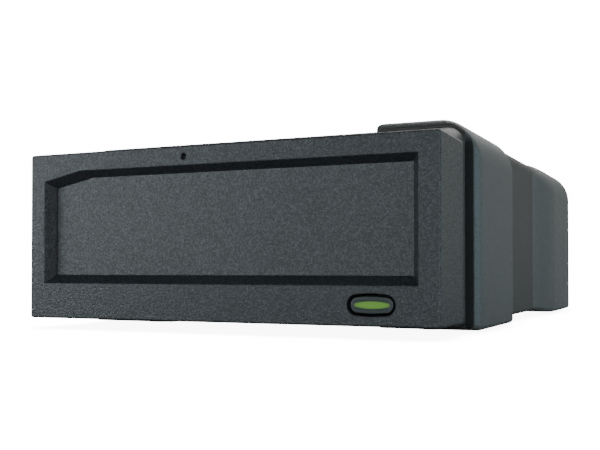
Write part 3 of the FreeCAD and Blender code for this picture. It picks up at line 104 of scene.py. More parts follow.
# %% Shader helper
class Value:
    """A node's output that can be added, multiplied and mixed like a number."""

    def __init__(self, tree, socket):
        self.tree, self.socket = tree, socket

    def node(self, kind, settings=None, **inputs):
        """Adds a node: settings first, then the values or links of its inputs.

        An input is given by its name, with _ for a space, or by i and its number.
        """
        n = self.tree.nodes.new(kind)
        for key, value in (settings or {}).items():
            setattr(n, key, value)
        for key, value in inputs.items():
            numbered = key[0] == "i" and key[1:].isdigit()
            socket = n.inputs[int(key[1:]) if numbered else key.replace("_", " ")]
            if isinstance(value, Value):
                self.tree.links.new(value.socket, socket)
            elif hasattr(socket.default_value, "__len__") and len(socket.default_value) == 4:
                socket.default_value = (*value[:3], 1.0)
            else:
                socket.default_value = value
        return n

    def out(self, n, name=0):
        """An output of node n, by its name or number."""
        return Value(self.tree, n.outputs[name])

    def math(self, operation, other=None):
        inputs = {"i0": self} if other is None else {"i0": self, "i1": other}
        return self.out(self.node("ShaderNodeMath", {"operation": operation}, **inputs))

    def reflected(self, operation, other):
        return self.out(self.node("ShaderNodeMath", {"operation": operation}, i0=other, i1=self))

    def __add__(self, other):
        return self.math("ADD", other)

    def __radd__(self, other):
        return self.reflected("ADD", other)

    def __sub__(self, other):
        return self.math("SUBTRACT", other)

    def __rsub__(self, other):
        return self.reflected("SUBTRACT", other)

    def __mul__(self, other):
        return self.math("MULTIPLY", other)

    def __rmul__(self, other):
        return self.reflected("MULTIPLY", other)

    def clamp(self, low=0.0, high=1.0):
        return self.math("MAXIMUM", low).math("MINIMUM", high)

    def step(self, low, high):
        """0 below low, 1 above high, smooth between."""
        n = self.node("ShaderNodeMapRange", {"interpolation_type": "SMOOTHSTEP"}, Value=self,
                      From_Min=low, From_Max=high)
        return self.out(n)

    def mix(self, a, b):
        """Colour a where this is 0 and b where it is 1."""
        n = self.node("ShaderNodeMix", {"data_type": "RGBA"}, i0=self, i6=a, i7=b)
        return self.out(n, 2)


print("shader helper ready")

# %% [markdown]
# ## Floor, backdrop and light
#
# The dock is nearly black plastic, so what shows its form is not how much light falls on it but
# what it reflects. One soft lamp at the left front is mirrored broadly by the left end of the
# face and less and less towards the right, where a wide low lamp in front takes over. A weak one
# at the front right and a bluish one at the right draw the strips along the rounded edges, and
# a wide one behind gives the side its grey at a grazing angle. These lamps stand low and the
# room itself stays dim, so the bevels above and below the door fall almost to black. Two more
# lamps, high behind and at the left, show the top, the back and the far side, and hardly reach
# the face.
#
# The camera sees backdrop and floor as the same white, except for a painted shadow on the floor
# close under the dock. Both are bright for the camera's own rays alone, so that this white
# doesn't wash out the dark plastic.

# %% Floor and light
FLOOR_HALF = 3.0                 # metres from the middle to an edge
ROOM_LIGHT = 0.02                # what the room gives back from all sides
BACKDROP_LIGHT = 16.0            # what the camera sees behind and under the dock


def surface_object(name, points, faces, smooth=True):
    """A mesh object at the origin from an array of points and an array of faces."""
    mesh = bpy.data.meshes.new(name)
    mesh.from_pydata(np.asarray(points, float).tolist(), [], [list(map(int, f)) for f in faces])
    mesh.validate()
    mesh.polygons.foreach_set("use_smooth", np.full(len(mesh.polygons), smooth))
    made = bpy.data.objects.new(name, mesh)
    bpy.context.scene.collection.objects.link(made)
    return made


def area_light(name, at, aim, wide, tall, power, colour):
    """A soft rectangular lamp at one point, aimed at another."""
    light = bpy.data.lights.new(name, "AREA")
    light.shape = "RECTANGLE"
    light.size, light.size_y, light.energy, light.color = wide, tall, power, colour
    lamp = bpy.data.objects.new(name, light)
    lamp.location = at
    lamp.rotation_euler = (Vector(aim) - Vector(at)).to_track_quat("-Z", "Y").to_euler()
    bpy.context.scene.collection.objects.link(lamp)


floor = surface_object("floor", [(-FLOOR_HALF, -FLOOR_HALF, 0.0), (FLOOR_HALF, -FLOOR_HALF, 0.0),
                                 (FLOOR_HALF, FLOOR_HALF, 0.0), (-FLOOR_HALF, FLOOR_HALF, 0.0)],
                       [(0, 1, 2, 3)], smooth=False)

MIDDLE = (0.0, 0.0, 0.025)               # of the dock
FACE = (-0.03, -0.0875, 0.025)           # on the front, left of its middle
SIDE = (0.055, 0.02, 0.025)              # on the right side
WHITE, WARM = (1.0, 1.0, 1.0), (1.0, 1.0, 0.94)
COOL, BLUISH = (0.86, 0.95, 1.0), (0.56, 0.86, 1.0)
LAMPS = {  # place, aimed at, width and height in metres, power in watts, colour
    "key": ((-0.46, -0.52, 0.12), FACE, 0.34, 0.22, 2.0, COOL),
    "fill": ((0.35, -1.20, 0.14), FACE, 0.80, 0.14, 7.0, COOL),
    "front_right": ((0.70, -0.45, 0.10), SIDE, 0.30, 0.20, 0.95, COOL),
    "right": ((0.90, 0.30, 0.10), SIDE, 0.25, 0.25, 2.9, BLUISH),
    "behind": ((0.42, 1.00, 0.30), MIDDLE, 0.80, 0.60, 0.75, WARM),
    "over_back": ((0.05, 0.75, 0.80), MIDDLE, 0.90, 0.70, 9.0, WHITE),
    "back_left": ((-0.90, 0.60, 0.35), MIDDLE, 0.60, 0.50, 6.0, COOL),
}
for lamp_name, lamp_settings in LAMPS.items():
    area_light(lamp_name, *lamp_settings)

world = bpy.data.worlds.new("tent")
bpy.context.scene.world = world
world.use_nodes = True
world.node_tree.nodes.clear()
room = Value(world.node_tree, None)
seen = room.out(room.node("ShaderNodeLightPath"), "Is Camera Ray")
strength = seen * (BACKDROP_LIGHT - ROOM_LIGHT) + ROOM_LIGHT
backdrop = room.node("ShaderNodeBackground", i0=WHITE, i1=strength)
room_out = room.node("ShaderNodeOutputWorld")
world.node_tree.links.new(backdrop.outputs[0], room_out.inputs[0])
print("lamps", len(LAMPS))

# %% [markdown]
# ## How a finish is made
#
# Every finish starts the same way: a Principled shader, the object coordinates in metres, and
# a function that says what changes over the surface. Moulded plastic is never one flat
# colour. Its grain comes from an etched mould, its gloss varies where hands have polished it,
# and its edges catch the light because no mould is sharp. A picture wrapped round a piece
# would stretch at the corners; a pattern worked out from the coordinates goes through the
# piece like the grain of wood, and has the same scale everywhere.

# %% Finish helpers
SHADERS = {}
EDGE_SAMPLES = 6                 # rays that feel for an edge


def finish(name, base, roughness, metallic=0.0, specular=0.5, coat=0.0):
    """Starts a material with the values that are the same all over.

    Returns its shader and the object coordinates.
    """
    material = bpy.data.materials.new(name)
    material.use_nodes = True
    tree = material.node_tree
    tree.nodes.clear()
    start = Value(tree, None)
    shader = start.node("ShaderNodeBsdfPrincipled", Base_Color=base, Roughness=roughness,
                        Metallic=metallic, Specular_IOR_Level=specular, Coat_Weight=coat)
    end = start.node("ShaderNodeOutputMaterial")
    tree.links.new(shader.outputs[0], end.inputs[0])
    at = start.out(start.node("ShaderNodeTexCoord"), "Object")
    SHADERS[name] = material
    return shader, at


def feed(shader, **inputs):
    """Links values into a shader's sockets by name, with _ for a space."""
    for key, value in inputs.items():
        value.tree.links.new(value.socket, shader.inputs[key.replace("_", " ")])


def noise(at, size, detail=3.0, roughness=0.55):
    """Soft noise from 0 to 1 whose blobs are about size metres across."""
    return at.out(at.node("ShaderNodeTexNoise", Vector=at, Scale=1.0 / size, Detail=detail,
                          Roughness=roughness))


def cells(at, size, feature="F1"):
    """Distance to the middle of the nearest of scattered cells about size metres across."""
    return at.out(at.node("ShaderNodeTexVoronoi", {"feature": feature}, Vector=at,
                          Scale=1.0 / size), "Distance")


def bump(at, height, depth, strength=1.0, normal=None):
    """Normal of a surface raised by height times depth, in metres."""
    extra = {} if normal is None else {"Normal": normal}
    return at.out(at.node("ShaderNodeBump", Height=height, Distance=depth, Strength=strength,
                          **extra))


def soft_edges(at, radius):
    """Normal of the surface with its edges rounded to a small radius."""
    return at.out(at.node("ShaderNodeBevel", {"samples": EDGE_SAMPLES}, Radius=radius))


def edge_mask(at, radius, reach=0.25):
    """1 on edges and 0 on flats: how far the rounded normal leans from the true one."""
    true = at.out(at.node("ShaderNodeNewGeometry"), "Normal")
    same = at.out(at.node("ShaderNodeVectorMath", {"operation": "DOT_PRODUCT"},
                          i0=soft_edges(at, radius), i1=true), "Value")
    return (1.0 - same).step(0.0, reach)


print("finish helpers ready")

# %% [markdown]
# ## Moulded grain
#
# The outer mouldings have the pebbled grain that hides scratches: shallow rounded cells a
# little under half a millimetre across, broken up by a finer noise. The plastic is nearly
# black, so the grain shows as sparkle: each pebble tips its own small mirror towards the lamp
# or away from it. A bump alone would sparkle evenly, so speckles also paint a lighter tone on
# some pebbles, as painted glints, and make them smoother. A slow noise varies gloss and tone,
# and the edges are a little paler and smoother than the flats.

# %% Moulded plastics
MOULD_EDGE = 0.35 * MM           # radius that the edges seem to have
TONE_PATCH = 18.0 * MM           # size of the patches in which tone and gloss wander


def pebbles(at, grain):
    """Height of the grain, from 0 to a little over 1, and its valleys, from 0 to 1.

    A noise first pushes the coordinates about by up to 0.6 of a grain, so that the cells are
    not round. The height is 0.8 of what is left of 1 after the distance to a cell's middle,
    and 0.4 of a finer noise. A valley is where that distance is large.
    """
    sway = at.out(at.node("ShaderNodeTexNoise", Vector=at, Scale=0.6 / grain, Detail=1.0), "Color")
    push = at.out(at.node("ShaderNodeVectorMath", {"operation": "SCALE"}, i0=sway,
                          Scale=grain * 0.6))
    bent = at.out(at.node("ShaderNodeVectorMath", {"operation": "ADD"}, i0=at, i1=push))
    pebble = cells(bent, grain, "SMOOTH_F1")
    return (1.0 - pebble) * 0.8 + noise(at, grain * 0.4, 2.0) * 0.4, pebble.step(0.25, 0.75)


def moulded(name, base, light, grain, depth, roughness, specular=0.5, edge=MOULD_EDGE):
    """Pebble-grained plastic: cells of grain metres, raised by depth metres.

    The colour goes from base to light with the slow tone, with the speckles outside the
    valleys, which are painted glints, and with the worn edges. Valleys are rougher, speckles
    and worn edges smoother.
    """
    shader, at = finish(name, base, roughness, specular=specular)
    height, valley = pebbles(at, grain)
    worn = edge_mask(at, edge)
    tone = noise(at, TONE_PATCH, 4.0, 0.6)
    speckle_painted_glint = noise(at, grain * 0.8, 1.0).step(0.35, 0.65)
    # painted glints: speckled pebbles outside the valleys are lightened as if they caught the lamp
    mixed = (tone * 0.25 + (1.0 - valley) * speckle_painted_glint * 0.55 + worn * 0.3).clamp()
    rough = (roughness + (tone - 0.5) * 0.08 + (0.5 - speckle_painted_glint) * 0.12
             + valley * 0.08 - worn * 0.08).clamp()
    feed(shader, Base_Color=mixed.mix(base, light), Roughness=rough,
         Normal=bump(at, height, depth, 1.0, soft_edges(at, edge)))


moulded("bezel", (0.004, 0.005, 0.006), (0.052, 0.058, 0.062), 0.40 * MM, 0.12 * MM, 0.40)
moulded("door", (0.010, 0.012, 0.012), (0.074, 0.080, 0.082), 0.40 * MM, 0.12 * MM, 0.41)
moulded("guide", (0.012, 0.012, 0.013), (0.022, 0.022, 0.024), 0.50 * MM, 0.02 * MM, 0.40)
moulded("fan", (0.010, 0.010, 0.011), (0.018, 0.018, 0.019), 0.60 * MM, 0.02 * MM, 0.45)
moulded("connector", (0.008, 0.008, 0.009), (0.016, 0.016, 0.018), 0.30 * MM, 0.01 * MM, 0.45)
moulded("rubber", (0.008, 0.008, 0.008), (0.022, 0.022, 0.022), 0.40 * MM, 0.03 * MM, 0.80,
        specular=0.3)
moulded("gear", (0.72, 0.70, 0.62), (0.80, 0.78, 0.71), 0.40 * MM, 0.01 * MM, 0.42,
        edge=0.1 * MM)
print("moulded finishes", len(SHADERS))

# %% [markdown]
# ## Two finishes on one housing
#
# The housing is one moulding with two textures cut into its mould: the corner guards are
# pebbled and matt for grip, and the body between them is smoother and a warmer black. Two
# materials would need the mesh's faces sorted by hand. But the guards are exactly what stands
# outside the body's own box, so thresholds on the object coordinates tell them apart, and the
# border falls where a guard rises out of the body. Two more thresholds find the groove behind
# the bezel, whose sides get painted shade: they are coloured near black and made matt, as the
# shadow of the bezel would leave them.

# %% Housing plastic
CORE_SIDE, CORE_OVER, CORE_UNDER = 52.05 * MM, 48.74 * MM, 1.76 * MM     # the body's own box
FADE_BESIDE, FADE_ABOVE = 0.08 * MM, 0.06 * MM   # width of the border between the textures
GROOVE_END, GROOVE_FADE = -60.6 * MM, 0.5 * MM   # where the groove ends towards the back
GROOVE_LOW, GROOVE_HIGH = 44.0 * MM, 47.0 * MM   # heights between which its black fades out
# painted shade: near black for the sides of the groove, where the bezel's shadow falls
GROOVE_PAINTED_SHADE = (0.002, 0.002, 0.002)
BODY_DARK, BODY_LIGHT = (0.016, 0.015, 0.013), (0.029, 0.027, 0.023)
GRIP_DARK, GRIP_LIGHT = (0.036, 0.039, 0.038), (0.078, 0.082, 0.080)
GRIP_GRAIN, BODY_GRAIN, GRAIN_DEPTH = 0.45 * MM, 0.30 * MM, 0.09 * MM
SHELL_ROUGH, SHELL_EDGE, SHELL_PATCH = 0.54, 0.4 * MM, 20.0 * MM


def shell_plastic():
    """Guards pebbled and cool, body between them smooth and warm.

    A guard is 1 beside, over or under the body's box and 0 inside it; the colour, the height
    of the grain and the roughness all follow it.
    """
    shader, at = finish("shell", (0.014, 0.014, 0.013), 0.42)
    place = at.node("ShaderNodeSeparateXYZ", i0=at)
    x, y, z = (at.out(place, axis) for axis in range(3))
    beside = x.math("ABSOLUTE").step(CORE_SIDE, CORE_SIDE + FADE_BESIDE)
    over = z.step(CORE_OVER, CORE_OVER + FADE_ABOVE)
    under = 1.0 - z.step(CORE_UNDER - FADE_ABOVE, CORE_UNDER)
    guard = beside.math("MAXIMUM", over).math("MAXIMUM", under)
    # painted shade: the sides of the groove behind the bezel turn near black and matt
    sides = beside * (1.0 - z.step(GROOVE_LOW, GROOVE_HIGH))
    groove_painted_shade = sides * (1.0 - y.step(GROOVE_END - GROOVE_FADE, GROOVE_END))
    coarse, valley = pebbles(at, GRIP_GRAIN)
    fine, _ = pebbles(at, BODY_GRAIN)
    worn = edge_mask(at, SHELL_EDGE)
    tone = noise(at, SHELL_PATCH, 4.0, 0.6)
    body = (tone * 0.6 + worn * 0.4).clamp().mix(BODY_DARK, BODY_LIGHT)
    worked = (tone * 0.3 + (1.0 - valley) * 0.4 + worn * 0.4).clamp()
    grip = worked.mix(GRIP_DARK, GRIP_LIGHT)
    height = coarse * guard + fine * (1.0 - guard) * 0.35
    rough = ((tone - 0.5) * 0.10 - guard * 0.04 + SHELL_ROUGH - worn * 0.06
             + groove_painted_shade * 0.4).clamp()
    feed(shader, Base_Color=groove_painted_shade.mix(guard.mix(body, grip), GROOVE_PAINTED_SHADE), Roughness=rough,
         Normal=bump(at, height, GRAIN_DEPTH, 1.0, soft_edges(at, SHELL_EDGE)))


shell_plastic()
print("housing: two textures in", SHADERS["shell"].name)

# %% [markdown]
# ## Smooth button and its light pipe
#
# The button cap is polished in the mould, so it is shinier than the grained bezel round it,
# and a little darker. Its green window is a light pipe: brightest in the middle where the lamp
# sits behind it, narrower and duller towards its ends, under a clear smooth skin. A lamp
# behind real glass would be slow and grainy to render, so a weak glow is worked out from how
# far a point is from the window's middle.

# %% Button and lens
def polished(name, base, light, roughness):
    """Smooth moulded plastic with faint handling marks: one fine noise moves all of it."""
    shader, at = finish(name, base, roughness)
    marks = noise(at, 4.0 * MM, 5.0, 0.65)
    feed(shader, Base_Color=marks.mix(base, light),
         Roughness=(roughness + (marks - 0.5) * 0.18).clamp(),
         Normal=bump(at, marks, 0.01 * MM, 0.4, soft_edges(at, 0.25 * MM)))


def lens_plastic():
    """Green window: with across and upward from -1 to 1, a bar that narrows towards its ends.

    The bar is 1 where |upward| + 0.55 across^2 is below 0.62 and 0 where it is above 1.08,
    and its glow falls by 0.35 across^4.
    """
    low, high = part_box("button_lens")
    shader, at = finish("lens", (0.10, 0.22, 0.05), 0.30, coat=0.4)
    place = at.node("ShaderNodeSeparateXYZ", i0=at)
    across = (at.out(place, 0) - (low.x + high.x) / 2) * (2.0 / (high.x - low.x))
    upward = (at.out(place, 2) - (low.z + high.z) / 2) * (2.0 / (high.z - low.z))
    ends = across * across
    bar = 1.0 - (upward.math("ABSOLUTE") + ends * 0.55).step(0.62, 1.08)
    glow = bar * (1.0 - ends * ends * 0.35)
    feed(shader, Base_Color=glow.mix((0.030, 0.042, 0.034), (0.06, 0.16, 0.02)),
         Emission_Color=glow.mix((0.002, 0.006, 0.002), (0.070, 0.150, 0.016)),
         Normal=bump(at, noise(at, 1.2 * MM, 2.0), 0.02 * MM, 0.5, soft_edges(at, 0.2 * MM)))
    shader.inputs["Emission Strength"].default_value = 1.0


polished("button", (0.030, 0.036, 0.036), (0.046, 0.054, 0.054), 0.30)
lens_plastic()
print("finishes so far", len(SHADERS))

# %% [markdown]
# ## Metals
#
# Zinc-plated sheet shows its rolling direction as fine streaks and a faint bloom of crystals.
# Turned brass and tin plate are brighter and smoother, with a finer bloom. A function for each
# would repeat the same nodes, so all of them are one function with another colour, streak
# direction and roughness.

# %% Metals
ALONG_X, ALONG_Y = (1.0, 40.0, 40.0), (40.0, 1.0, 40.0)      # scales that draw streaks out
STREAK_SIZE, STREAK_DEPTH = 12.0 * MM, 0.004 * MM
METAL_EDGE, METAL_WEAR = 0.12 * MM, 0.2 * MM
SMOOTHEST = 0.08


def metal(name, base, light, roughness, streak=ALONG_X, bloom=4.0 * MM):
    """Metal with streaks: noise stretched along the axis that has the smallest scale.

    Streaks, crystals of bloom metres and worn edges lighten it; streaks and crystals also
    move its roughness, which never falls to a mirror's.
    """
    shader, at = finish(name, base, roughness, metallic=1.0)
    stretched = at.out(at.node("ShaderNodeMapping", Vector=at, Scale=streak))
    lines = noise(stretched, STREAK_SIZE, 3.0)
    spangle = cells(at, bloom)
    worn = edge_mask(at, METAL_WEAR)
    feed(shader, Base_Color=(lines * 0.5 + spangle * 0.3 + worn * 0.4).clamp().mix(base, light),
         Roughness=(roughness + (lines - 0.5) * 0.22 + (spangle - 0.4) * 0.10).clamp(SMOOTHEST),
         Normal=bump(at, lines, STREAK_DEPTH, 0.8, soft_edges(at, METAL_EDGE)))


metal("steel", (0.44, 0.45, 0.47), (0.62, 0.63, 0.66), 0.34)
metal("spring_steel", (0.40, 0.40, 0.43), (0.58, 0.58, 0.62), 0.28, bloom=0.6 * MM)
metal("sink", (0.62, 0.63, 0.65), (0.78, 0.79, 0.80), 0.36, streak=ALONG_Y)
metal("socket", (0.58, 0.58, 0.57), (0.74, 0.74, 0.73), 0.25, bloom=1.0 * MM)
metal("brass", (0.62, 0.43, 0.16), (0.80, 0.60, 0.28), 0.28, bloom=0.8 * MM)
print("finishes so far", len(SHADERS))

# %% [markdown]
# ## Circuit boards and chips
#
# Under the green solder mask the copper traces stand a little proud, so a board shows a
# darker green with lighter straight tracks. Modelling each trace would be a job of its own. A
# cell pattern measured with the city-block distance has only straight edges at right angles
# and diagonals, much as a routed board has. The last finish of this cell is the pale card
# that the dock stands on, with a painted shadow close under the dock.

# %% Boards, chips and the card
TRACK_CELL, CELL_TRACKS = 6.0 * MM, 6.0
# painted shadow: the card glows dimmer to the camera close under the dock
PAINTED_SHADOW_GLOW = 9.0              # what the camera sees of the card close under the dock
SHADE_REACH = 6.0 * MM           # how far out from the dock that shade goes


def solder_mask():
    """Green board with raised tracks: up to six thin rings in each city-block cell."""
    shader, at = finish("board", (0.010, 0.09, 0.035), 0.35, coat=0.2)
    grid = at.node("ShaderNodeTexVoronoi", {"feature": "F1", "distance": "MANHATTAN"}, Vector=at,
                   Scale=1.0 / TRACK_CELL, Randomness=0.75)
    rings = at.out(grid, "Distance").math("FRACT") * CELL_TRACKS
    track = rings.math("FRACT").step(0.35, 0.5)
    dust = noise(at, 10.0 * MM, 3.0)
    feed(shader, Base_Color=track.mix((0.006, 0.060, 0.024), (0.018, 0.135, 0.055)),
         Roughness=(dust * 0.2 + 0.25).clamp(), Normal=bump(at, track, 0.03 * MM, 0.6))


def chip_black():
    """Moulded epoxy: nearly black, with a fine sandy skin."""
    shader, at = finish("chip", (0.012, 0.012, 0.013), 0.55)
    sand = noise(at, 0.2 * MM, 2.0)
    blotch = noise(at, 3.0 * MM, 2.0)
    feed(shader, Base_Color=blotch.mix((0.008, 0.008, 0.009), (0.022, 0.022, 0.024)),
         Roughness=(0.5 + (sand - 0.5) * 0.2).clamp(),
         Normal=bump(at, sand, 0.02 * MM, 0.5, soft_edges(at, 0.2 * MM)))


def white_card():
    """Pale card: white to the camera with a painted shadow close under the dock, matt to the
    lamps.
    """
    shader, at = finish("card", (0.35, 0.35, 0.35), 0.85, specular=0.2)
    soft = noise(at, 300.0 * MM, 2.0)
    own_rays = at.out(at.node("ShaderNodeLightPath"), "Is Camera Ray")
    # painted shadow: where the dock hems the card in, the camera sees a dimmer glow
    around = at.node("ShaderNodeAmbientOcclusion", {"samples": 8}, Distance=SHADE_REACH)
    open_sky = at.out(around, "AO").step(0.3, 1.0)
    glow_with_painted_shadow = open_sky.mix((PAINTED_SHADOW_GLOW,) * 3, (BACKDROP_LIGHT,) * 3)
    feed(shader, Base_Color=soft.mix((0.33, 0.33, 0.33), (0.38, 0.38, 0.38)),
         Emission_Color=own_rays.mix((0.0, 0.0, 0.0), glow_with_painted_shadow))
    shader.inputs["Emission Strength"].default_value = 1.0


solder_mask()
chip_black()
white_card()
floor.data.materials.append(SHADERS["card"])
print("finishes in all", len(SHADERS))

# %% [markdown]
# ## Giving each piece its finish
#
# The record says which finish each piece has. A list of pieces here could fall out of step
# with it, so it is read instead. A piece keeps its mesh, and only its material slot is
# filled, so nothing here moves a part.

# %% Finishes onto the pieces
for node_name, piece in frame["nodes"].items():
    piece.data.materials.clear()
    piece.data.materials.append(SHADERS[SLOT_OF[node_name]])
print("pieces finished", len(frame["nodes"]))

# %% [markdown]
# ## Wound springs
#
# A spring is a round wire carried along a helix. A Screw modifier would wind it too, but with
# one even pitch and open ends. Here the wire's section stays square to the path, so each point
# of the path gets two directions: one across the path and across the spring's axis, and one
# across both. The ends close by letting the pitch fall to one wire thickness, as on a real
# compression spring.

# %% Wire along a path
WIRE = 0.35 * MM
WIRE_SIDES = 10
END_TURNS = 0.8                  # turns over which each end closes
HELIX_STEPS = 28                 # points to a turn of a compression spring


def carried_wire(name, path, axis):
    """Round wire along a path.

    point(i, k) = path(i) + radius (cos a_k n_i + sin a_k b_i), where t_i is the path's
    direction, n_i = axis x t_i made one long, b_i = t_i x n_i and a_k = 2 pi k / sides. Each end
    is closed by a fan of triangles to a point in its middle.
    """
    path = np.asarray(path, float)
    t = np.gradient(path, axis=0)
    t /= np.linalg.norm(t, axis=1, keepdims=True)
    n = np.cross(np.asarray(axis, float), t)
    n /= np.linalg.norm(n, axis=1, keepdims=True)
    b = np.cross(t, n)
    a = 2 * np.pi * np.arange(WIRE_SIDES) / WIRE_SIDES
    section = np.cos(a)[None, :, None] * n[:, None] + np.sin(a)[None, :, None] * b[:, None]
    rings = path[:, None] + WIRE / 2 * section
    points = np.vstack([rings.reshape(-1, 3), path[:1], path[-1:]])
    i, k = np.meshgrid(np.arange(len(path) - 1), np.arange(WIRE_SIDES), indexing="ij")
    here, following = i * WIRE_SIDES, (i + 1) * WIRE_SIDES
    after = (k + 1) % WIRE_SIDES
    quads = np.stack([here + k, here + after, following + after, following + k], -1)
    ring = np.arange(WIRE_SIDES)
    turned = (ring + 1) % WIRE_SIDES
    last_ring = (len(path) - 1) * WIRE_SIDES
    start_cap = np.stack([np.full(WIRE_SIDES, len(points) - 2), turned, ring], -1)
    end_cap = np.stack([np.full(WIRE_SIDES, len(points) - 1), last_ring + ring,
                        last_ring + turned], -1)
    return surface_object(name, points, [*quads.reshape(-1, 4), *start_cap, *end_cap])


def helix(turns, radius, length):
    """Points (across, along, up) of a helix about the middle axis.

    The angle runs evenly; the advance per turn falls to one wire thickness over the closed
    turns at each end, and the middle turns share the rest of the length evenly.
    """
    s = np.linspace(0.0, turns, int(turns * HELIX_STEPS) + 1)
    rate = np.clip(np.minimum(s, turns - s) / END_TURNS, 0.0, 1.0)
    rate = rate * rate * (3 - 2 * rate)
    free = length - WIRE * (turns + 1)
    advance = np.concatenate([[0.0], np.cumsum((rate[1:] + rate[:-1]) / 2)])
    along = WIRE / 2 + WIRE * s + free * advance / advance[-1]
    angle = 2 * np.pi * s
    return np.stack([radius * np.cos(angle), along, radius * np.sin(angle)], -1)


def wound(name, node, turns):
    """Compression spring along Y that fills a node's place."""
    low, high = (np.array(corner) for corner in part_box(node))
    middle = (low + high) / 2
    outer = (high[2] - low[2]) / 2
    path = helix(turns, outer - WIRE / 2, high[1] - low[1])
    path = path + np.array([middle[0], low[1], middle[2]])
    spring = carried_wire(name, path, (0, 1, 0))
    spring.data.materials.append(SHADERS["spring_steel"])
    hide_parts(node)
    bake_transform(spring)
    print(name, "points", len(path))


wound("button_return_spring", "button_spring", 6.5)
wound("rod_return_spring", "rod_spring", 10.5)

# %% [markdown]
# ## Torsion springs
#
# A torsion spring turns about its own axis. Its coils lie against each other, and each end
# leaves the coil along its tangent as a straight leg, one on each of the two pieces that it
# twists between. It is the same wire on another path, so the function above carries it too.

# %% Torsion springs
COIL_STEPS = 32                  # points to a turn of a torsion spring
LEG_POINTS = 6


def twisted(name, node, turns, centre, radius, axes, legs):
    """Torsion spring: coils about axes[0] through centre, with a straight leg at each end.

    The coil is c + r (cos s u + sin s v) + h(s) w, where w is the axis, u and v are square to it
    and h runs evenly from the low to the high side of the node's box. A leg leaves along the
    coil's tangent, -sin s u + cos s v, backwards at the start and forwards at the end.
    """
    w, u, v = (np.array(axis, float) for axis in axes)
    low, high = (np.array(corner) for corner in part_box(node))
    centre = np.array(centre)
    span = np.array([low @ w + WIRE / 2, high @ w - WIRE / 2])
    s = np.linspace(0.0, 2 * np.pi * turns, int(turns * COIL_STEPS) + 1)[:, None]
    along = span[0] + (span[1] - span[0]) * s / s[-1]
    flat = centre - (centre @ w) * w
    coil = flat + radius * (np.cos(s) * u + np.sin(s) * v) + along * w
    inwards = np.linspace(1.0, 0.0, LEG_POINTS)[:-1, None]
    outwards = np.linspace(0.0, 1.0, LEG_POINTS)[1:, None]
    first = coil[0] - legs[0] * inwards * (-np.sin(s[0]) * u + np.cos(s[0]) * v)
    last = coil[-1] + legs[1] * outwards * (-np.sin(s[-1]) * u + np.cos(s[-1]) * v)
    spring = carried_wire(name, np.vstack([first, coil, last]), w)
    spring.data.materials.append(SHADERS["spring_steel"])
    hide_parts(node)
    ends = [tuple(flat + end * w) for end in (span[0] + WIRE, span[1] - WIRE)]
    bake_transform(spring)
    print(name, "points", len(first) + len(coil) + len(last))


door_low, door_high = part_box("door_spring")
door_coil = (door_high.z - door_low.z) / 2 - WIRE / 2
twisted("door_return_spring", "door_spring", 4.5, (door_low + door_high) / 2, door_coil,
        ((1, 0, 0), (0, 1, 0), (0, 0, 1)), (door_coil, door_coil))
latch_low, latch_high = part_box("latch_spring")
latch_coil = (latch_high.x - latch_low.x) / 2 - WIRE / 2
latch_at = ((latch_low.x + latch_high.x) / 2, latch_low.y + latch_coil + WIRE / 2, latch_low.z)
twisted("latch_return_spring", "latch_spring", 2.0, latch_at, latch_coil,
        ((0, 0, 1), (1, 0, 0), (0, -1, 0)),
        (latch_high.y - latch_at[1] - WIRE / 2, latch_coil))

# %% [markdown]
# ## Contacts
#
# Each blade of the docking connector and the tongue in the data socket carry a row of plated
# contacts. They could be little boxes, but a box has one flat shine. A contact here is a thin
# strip with a slight crown, so that it catches a line of light.

# %% Contact strips
CONTACT_THICK = 0.06 * MM
CROWN_STEPS = 5                          # points across a strip
TIP_PLACES = (0.0, 0.08, 0.25, 1.0)      # places along a strip, as shares of its length
TIP_EASE = (0.35, 0.8, 1.0, 1.0)         # its width and thickness at those places


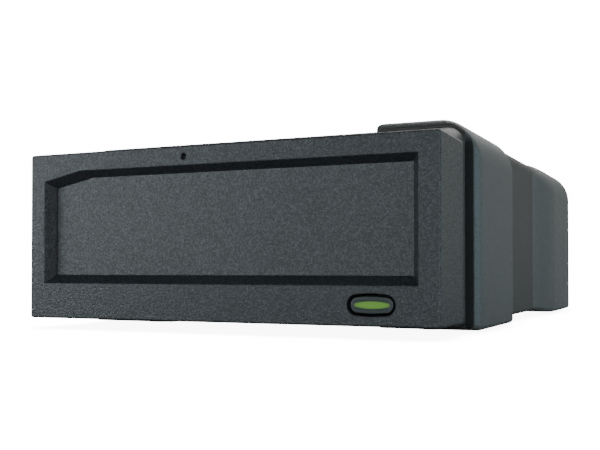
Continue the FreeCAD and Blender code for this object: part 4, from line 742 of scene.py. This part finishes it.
def contact_rows(name, rows, pitch, wide, along, body="dock"):
    """Strips in rows on flat faces.

    A row is the first strip's x, their count, y at the tips, z of the face, and 1 above it or
    -1 below it. With t from -1 to 1 across a strip and u from 0 to 1 along it, its point is
    (x + t wide / 2 ease(u), tip + along u, face + side thick (1 - t^2 / 2) ease(u)), so it
    is thickest in the middle and rounded off at the tip.
    """
    t = np.linspace(-1.0, 1.0, CROWN_STEPS)[None, None, :]
    u = np.array(TIP_PLACES)[None, :, None]
    ease = np.array(TIP_EASE)[None, :, None]
    points, quads, started = [], [], 0
    for first, count, tip, face, side in rows:
        strip = np.arange(count)[:, None, None]
        x = first + pitch * strip + t * wide / 2 * ease
        y = tip + along * u + 0 * x
        z = face + side * CONTACT_THICK * (1 - t ** 2 / 2) * ease + 0 * x
        points.append(np.stack([x, y, z], -1).reshape(-1, 3))
        index = started + np.arange(x.size).reshape(x.shape)
        corners = [index[:, :-1, :-1], index[:, :-1, 1:], index[:, 1:, 1:], index[:, 1:, :-1]]
        turned_out = corners if side * along > 0 else corners[::-1]
        quads.append(np.stack(turned_out, -1).reshape(-1, 4))
        started += x.size
    strips = surface_object(name, np.vstack(points), np.vstack(quads))
    strips.data.materials.append(SHADERS["brass"])
    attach(strips, body)
    print(name, "strips", sum(row[1] for row in rows))


DATA_FIRST, DATA_COUNT = -15.2 * MM, 7           # on the short blade
POWER_FIRST, POWER_COUNT = -4.4 * MM, 15         # on the long blade
plug_low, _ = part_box("docking_connector")
blade_top = plug_low.z + 4.0 * MM                # upper face of both blades
plug_tips = plug_low.y + 0.4 * MM
contact_rows("plug_contacts", [(DATA_FIRST, DATA_COUNT, plug_tips, blade_top, 1),
                               (POWER_FIRST, POWER_COUNT, plug_tips, blade_top, 1)],
             pitch=1.27 * MM, wide=0.8 * MM, along=4.2 * MM)
socket_low, socket_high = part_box("usb_socket")
socket_first = (socket_low.x + socket_high.x) / 2 - 1.25 * MM
socket_tips = socket_high.y - 1.4 * MM
tongue_over, tongue_under = socket_low.z + 6.8 * MM, socket_low.z + 3.6 * MM
contact_rows("socket_contacts", [(socket_first, 2, socket_tips, tongue_over, 1),
                                 (socket_first, 2, socket_tips, tongue_under, -1)],
             pitch=2.5 * MM, wide=1.1 * MM, along=-7.0 * MM)
